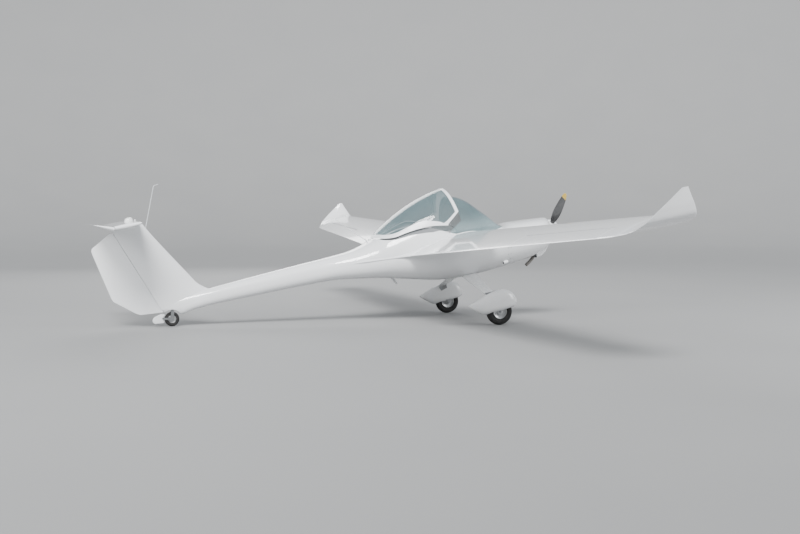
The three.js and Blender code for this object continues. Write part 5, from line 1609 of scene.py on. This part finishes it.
class GLIDER_OT_fittings(Operator):
    """Exhaust, cabin vent, antennas, fin probe and beacon"""

    bl_idname = "glider.fittings"
    bl_label = "Outside fittings"

    def execute(self, context):
        pipe = smooth_path(EXHAUST_LINE, 50)
        outside, bore = tube(pipe, EXHAUST_RADIUS, sides=40), tube(pipe[-25:], EXHAUST_BORE, sides=40)
        form = Form().solid(to_row(np.concatenate((outside, bore[::-1]))))
        make("exhaust_tube", form, "airframe", "exhaust", "exhaust_pipe")
        turn = np.radians(np.linspace(0, VENT_TURN, 40))[:, None]
        round_it = full_turn(48)
        scoop = np.stack((np.cos(turn) + 0 * round_it, np.sin(turn) * np.cos(round_it),
                          np.sin(turn) * np.sin(round_it)), -1) * VENT_RADII
        outer, inner, throat = (to_row(np.array(VENT_CENTRE) + size * scoop) for size in (1.0, 0.86, 0.85))
        make("cabin_vent_scoop", Form().wall(outer, inner, loop=True), "airframe", "gelcoat", "cabin_vent")
        form = Form().sheet(throat, loop=True, caps=(False, True))
        make("cabin_vent_throat", form, "airframe", "control_black")
        taper = np.linspace(*WHIP_RADII, 30)
        thin, thick = WHIP_FOOT_RADII
        flare = thin + (thick - thin) * np.linspace(1, 0, 20) ** 1.6
        form = Form().solid(to_row(tube(smooth_path(WHIP_LINE, 30), taper, sides=16)))
        form.solid(to_row(tube(smooth_path(WHIP_FOOT, 20), flare, sides=32)))
        make("whip_antenna_rod", form, "airframe", "gelcoat", "whip_antenna")
        blade = rounded_slab(resample(BELLY_BLADE, 80, round_off=3), BELLY_BLADE_HALF, BELLY_BLADE_EDGE)
        form = Form().solid(to_row(blade))
        make("belly_antenna_blade", form, "airframe", "gelcoat", "belly_antenna")
        radius = np.interp(np.arange(60), *zip(*PROBE_RADII))
        form = Form().solid(to_row(tube(smooth_path(PROBE_LINE, 60), radius)))
        make("pressure_probe_tube", form, "airframe", "probe", "pressure_probe")
        turn = np.linspace(0, np.pi / 2, 24)
        form = Form()
        for x, base, (radius, foot, height), power, sides in (
                (BEACON_X, BEACON_BASE, BEACON_DOME, 0.8, 96),
                (BEACON_BUTTON_X, [(0.0, 0.016)], BUTTON_DOME, 0.9, 48)):
            profile = np.r_[base, np.c_[radius * np.cos(turn) ** power, foot + height * np.sin(turn)]]
            profile[-1, 0] = 0
            form.sheet(to_row(lathe(profile, (x, 0, TAIL_Z), (0, 0, 1), sides)), loop=True)
        make("beacon_dome", form, "airframe", "lamp", "beacon")
        return {"FINISHED"}


def inside_cockpit(grid, gap):
    """Points drawn in towards the middle of the hull's section until none lies nearer to the cockpit's
    wall than a gap: both distances are divided by the power mean of their shares of the section."""
    mid, half, down, up = hull_section(grid[..., 0], SKIN + gap)
    across, rise = grid[..., 1], grid[..., 2] - mid
    reach = np.where(rise > 0, up, down)
    share = (np.abs(across) / half) ** HULL_SQUARENESS + (np.abs(rise) / reach) ** HULL_SQUARENESS
    pull = 1 / np.maximum(share ** (1 / HULL_SQUARENESS), 1)
    return np.stack((grid[..., 0], across * pull, mid + rise * pull), -1)


def cushion(low, high, thickness, inner, outer, crown, channels):
    """Crowned cushion on the line from low to high in side view. Its height is the thickness times a
    flat-topped roll-off along both directions, plus a crown that is a product of parabolas, less a
    rounded dip at each sewn channel. Its sides pull in between the corners by a parabola."""
    low, high = np.array(low), np.array(high)
    along = unit(high - low)
    normal = np.array((along[1], -along[0])) * (1 if along[1] > abs(along[0]) else -1)
    u = np.sin(np.linspace(-np.pi / 2, np.pi / 2, 90))[:, None]
    v = np.sin(np.linspace(-np.pi / 2, np.pi / 2, 70))[None]
    roll = ((1 - u**8) * (1 - v**8)) ** 0.3
    dips = sum(np.exp(-((u - place) / 0.035) ** 2) for place in channels)
    height = thickness * roll + crown * (1 - u**2) * (1 - v**2) - CHANNEL_DEPTH * dips * roll
    length, half = np.linalg.norm(high - low) / 2, abs(outer - inner) / 2
    far = u * length * (1 - 0.02 * (1 - v**2))
    side = (inner + outer) / 2 + v * half * (1 - 0.03 * (1 - u**2))
    middle = (low + high) / 2

    def at(rise):
        place = middle + far[..., None] * along + rise[..., None] * normal
        return np.stack((place[..., 0], side + 0 * rise, place[..., 1]), -1)

    cloth = np.stack((far + 0 * v, side + 0 * u, height), -1)
    top, bottom = (inside_cockpit(at(rise), gap=0.006) for rise in (height, 0 * height))
    edge = np.concatenate((top[0], top[1:, -1], top[-1, -2::-1], top[-2:0:-1, 0]))
    return top, bottom, cloth, edge + np.r_[normal[0], 0, normal[1]] * thickness * 0.05


def ribbon(path, across):
    """Strap: a flat band along a path, a width across it, and a thickness along its own normals."""
    share = np.linspace(-0.5, 0.5, 7)[None, :, None]
    grid = path[:, None] + np.asarray(across) * STRAP_WIDTH * share
    half = normals_of(grid) * STRAP_THICKNESS / 2
    steps = distances(path)[:, None]
    band = STRAP_WIDTH * share[..., 0]
    return grid + half, grid - half, np.stack((steps + 0 * band, band + 0 * steps, 0 * steps + 0 * band), -1)


def strap(line, side, offset):
    """Middle line of a strap: its table's share of the offset from the middle line of the seat."""
    return np.array(line) * (1, offset, 1) + (0, side * HARNESS_Y, 0)


class GLIDER_OT_seats(Operator):
    """Two seats with crowned cushions, piping and harness"""

    bl_idname = "glider.seats"
    bl_label = "Seats"

    def execute(self, context):
        for name, side in SIDES:
            node = f"seat_{name}"
            shell = rounded_slab(resample(SEAT_SHELL, 160, round_off=4), SEAT_HALF, edge=0.012,
                                 middle=side * SEAT_Y)
            form = Form().solid(to_row(inside_cockpit(shell, gap=0.004)))
            make(f"{node}_shell", form, "airframe", "cockpit_trim", node, slot="panel")
            for part, (low, high, thickness, channels) in SEAT_PADS.items():
                top, bottom, cloth, edge = cushion(low, high, thickness, side * PAD_INNER, side * PAD_OUTER,
                                                   sizes().seat_crown, channels)
                form = Form().wall(to_row(top), to_row(bottom), cloth=(cloth, cloth))
                pad = make(f"{node}_{part}", form, "airframe", "upholstery", node, crease=60)
                piping = Form().solid(to_row(tube(np.r_[edge, edge[:2]], PIPING_RADIUS, sides=10)))
                make(f"{node}_{part}_piping", piping, "airframe", "control_black", node, slot="upholstery")
            form = Form()
            for offset in (-STRAP_OFFSET, STRAP_OFFSET):
                for line, count, across in ((SHOULDER_STRAP, 60, (0, 1, 0)),
                                            (HIP_STRAP, 40, (0.8, 0.6 * np.sign(offset), 0))):
                    outer, inner, cloth = ribbon(smooth_path(strap(line, side, offset), count), across)
                    outer, inner = inside_cockpit(outer, gap=0.003), inside_cockpit(inner, gap=0.005)
                    form.wall(to_row(outer), to_row(inner), cloth=(cloth, cloth))
            make(f"harness_{name}", form, "airframe", "webbing", slot="upholstery")
            x, z = BUCKLE_PLACE
            buckle = lathe(BUCKLE, (x, side * HARNESS_Y, z), (0, 0, 1), sides=48)
            make(f"harness_{name}_buckle", Form().sheet(to_row(buckle), loop=True), "airframe", "steel")
        return {"FINISHED"}


class GLIDER_OT_cockpit(Operator):
    """Instrument panel with its dials and glare shield, and the two control sticks"""

    bl_idname = "glider.cockpit"
    bl_label = "Panel and sticks"

    def execute(self, context):
        board = rounded_slab(resample(PANEL_SIDE, 160, round_off=2), PANEL_HALF, edge=0.006)
        form = Form().solid(to_row(inside_cockpit(board, gap=0.001)))
        make("instrument_board", form, "airframe", "panel", "instrument_panel")
        top, bottom = PANEL_FACE
        down = bottom - top
        normal, up = unit(np.array(((down[1], 0, -down[0]), (-down[0], 0, -down[1]))))

        def pointer(centre, angle, lift, start, end):
            """Line on a dial's face, from one distance to another, at an angle from upright."""
            way = math.sin(angle) * np.array((0, 1, 0)) + math.cos(angle) * up
            return centre + normal * lift + way * np.array([[start], [end]])

        dials, marks = Form(), Form()
        for y, share, radius in DIALS:
            centre = np.array((top[0] + down[0] * share, y, top[1] + down[1] * share))
            ring = [(0, 0.001), (radius * 0.9, 0.001), (radius * 0.9, 0.005), (radius * 0.97, 0.006),
                    (radius, 0.004), (radius, -0.004), (0, -0.004)]
            dials.sheet(to_row(lathe(ring, centre, normal, sides=56)), loop=True)
            for angle in full_turn(DIAL_MARKS):
                line = pointer(centre, angle, 0.0016, radius * 0.70, radius * 0.84)
                marks.solid(to_row(tube(line, 0.0007, sides=6)))
            # Hands stand at angles that differ from dial to dial
            hand = pointer(centre, 27 * y, 0.0030, radius * -0.15, radius * 0.66)
            marks.solid(to_row(tube(hand, (0.0014, 0.0004), sides=8)))
        make("instrument_dials", dials, "airframe", "control_black")
        make("instrument_marks", marks, "airframe", "dial_white", slot="probe")
        climb = np.linspace(0, 1, 60)
        bellows = 0.040 - 0.026 * climb + 0.003 * np.sin(climb * 12 * np.pi)
        swell = np.sqrt(np.clip(1 - (2 * climb - 1) ** 10, 0.02, 1))
        hold = (0.0165 - 0.0012 * np.cos(climb * 8 * np.pi) * np.sin(np.pi * climb)) * swell
        for name, side in SIDES:
            rod, boot, grip = (smooth_path(line, count, side * STICK_Y)
                               for line, count in ((STICK_LINE, 40), (BOOT_LINE, 60), (GRIP_LINE, 60)))
            form = Form()
            for grid in (tube(rod, np.linspace(0.011, 0.009, 40)), tube(boot, bellows, sides=40)):
                form.solid(to_row(inside_cockpit(grid, gap=0.0005)))
            form.solid(to_row(tube(grip, hold, sides=32)))
            make(f"stick_{name}_grip", form, "airframe", "control_black", f"stick_{name}")
        return {"FINISHED"}


def aimed(light, place, back):
    """Hangs a light at a place, so that it shines against the direction back."""
    item = bpy.data.objects.new(light.name, light)
    item.location = place
    item.rotation_mode = "QUATERNION"
    item.rotation_quaternion = back.to_track_quat("Z", "Y")
    bpy.context.scene.collection.objects.link(item)


class GLIDER_OT_stage(Operator):
    """Pale floor, soft studio light and the camera"""

    bl_idname = "glider.stage"
    bl_label = "Stage"

    def execute(self, context):
        """The floor is a disc whose rim curves up in a quarter circle, turned about the upright axis."""
        flat, rise = BOWL
        bend = np.linspace(0, np.pi / 2, 13)
        out = np.concatenate([[0.001, 12.0, 26.0], flat + rise * np.sin(bend)])[:, None]
        high = np.concatenate([np.zeros(3), rise * (1 - np.cos(bend))])[:, None] - 0.002
        turn = np.linspace(2 * np.pi, 0, 73)[None, :-1]
        grid = np.stack([out * np.cos(turn), out * np.sin(turn), high + 0 * turn], -1)
        mesh = bpy.data.meshes.new("studio_floor")
        mesh.from_pydata(grid.reshape(-1, 3).tolist(), [], grid_faces(len(out), 72, loop=True).tolist())
        mesh.shade_smooth()
        mesh.materials.append(finish("studio_floor"))
        floor = bpy.data.objects.new("studio_floor", mesh)
        context.scene.collection.objects.link(floor)
        world = bpy.data.worlds.new("studio")
        context.scene.world = world
        world.use_nodes = True
        sky = world.node_tree.nodes["Background"]
        sky.inputs["Color"].default_value, sky.inputs["Strength"].default_value = SKY
        place, power, width = KEY
        sun = bpy.data.lights.new("key_light", "SUN")
        sun.energy, sun.angle = power, math.radians(width)
        aimed(sun, (0, 0, 0), Vector(place))
        for name, place, aim, size, power in LIGHTS:
            lamp = bpy.data.lights.new(name, "AREA")
            lamp.shape, lamp.size, lamp.energy = "DISK", size, power
            aimed(lamp, place, Vector(place) - Vector(aim))
        camera = bpy.data.cameras.new("camera")
        camera.lens, camera.sensor_width = CAMERA_LENS, CAMERA_SENSOR
        camera.clip_end = 300
        eye = bpy.data.objects.new("camera", camera)
        eye.location = (AXLE[0] + CAMERA_PLACE[0], CAMERA_PLACE[1], CAMERA_PLACE[2])
        eye.rotation_euler = [math.radians(angle) for angle in CAMERA_TURN]
        context.scene.collection.objects.link(eye)
        context.scene.camera = eye
        return {"FINISHED"}


BUILDERS = (GLIDER_OT_hull, GLIDER_OT_canopy, GLIDER_OT_windscreen, GLIDER_OT_cowls, GLIDER_OT_wings,
            GLIDER_OT_tail, GLIDER_OT_main_gear, GLIDER_OT_tail_gear, GLIDER_OT_propeller, GLIDER_OT_fittings,
            GLIDER_OT_trim, GLIDER_OT_seats, GLIDER_OT_cockpit, GLIDER_OT_stage)


class GLIDER_PT_panel(Panel):
    """Lists the glider's pieces, sizes and colours in the sidebar"""

    bl_label = "Touring motor glider"
    bl_idname = "GLIDER_PT_panel"
    bl_space_type = "VIEW_3D"
    bl_region_type = "UI"
    bl_category = "Glider"

    def draw(self, context):
        for group in (context.scene.glider_sizes, context.scene.glider_colours):
            box = self.layout.box()
            for name in group.__annotations__:
                box.prop(group, name)
        for builder in BUILDERS:
            self.layout.operator(builder.bl_idname)


CLASSES = (GliderSizes, GliderColours, *BUILDERS, GLIDER_PT_panel)


def register():
    for item in CLASSES:
        bpy.utils.register_class(item)
    bpy.types.Scene.glider_sizes = PointerProperty(type=GliderSizes)
    bpy.types.Scene.glider_colours = PointerProperty(type=GliderColours)


def unregister():
    del bpy.types.Scene.glider_colours
    del bpy.types.Scene.glider_sizes
    for item in reversed(CLASSES):
        bpy.utils.unregister_class(item)


def main():
    """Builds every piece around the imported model."""
    register()
    for builder in BUILDERS:
        group, name = builder.bl_idname.split(".")
        getattr(getattr(bpy.ops, group), name)()


if __name__ == "__main__":
    main()
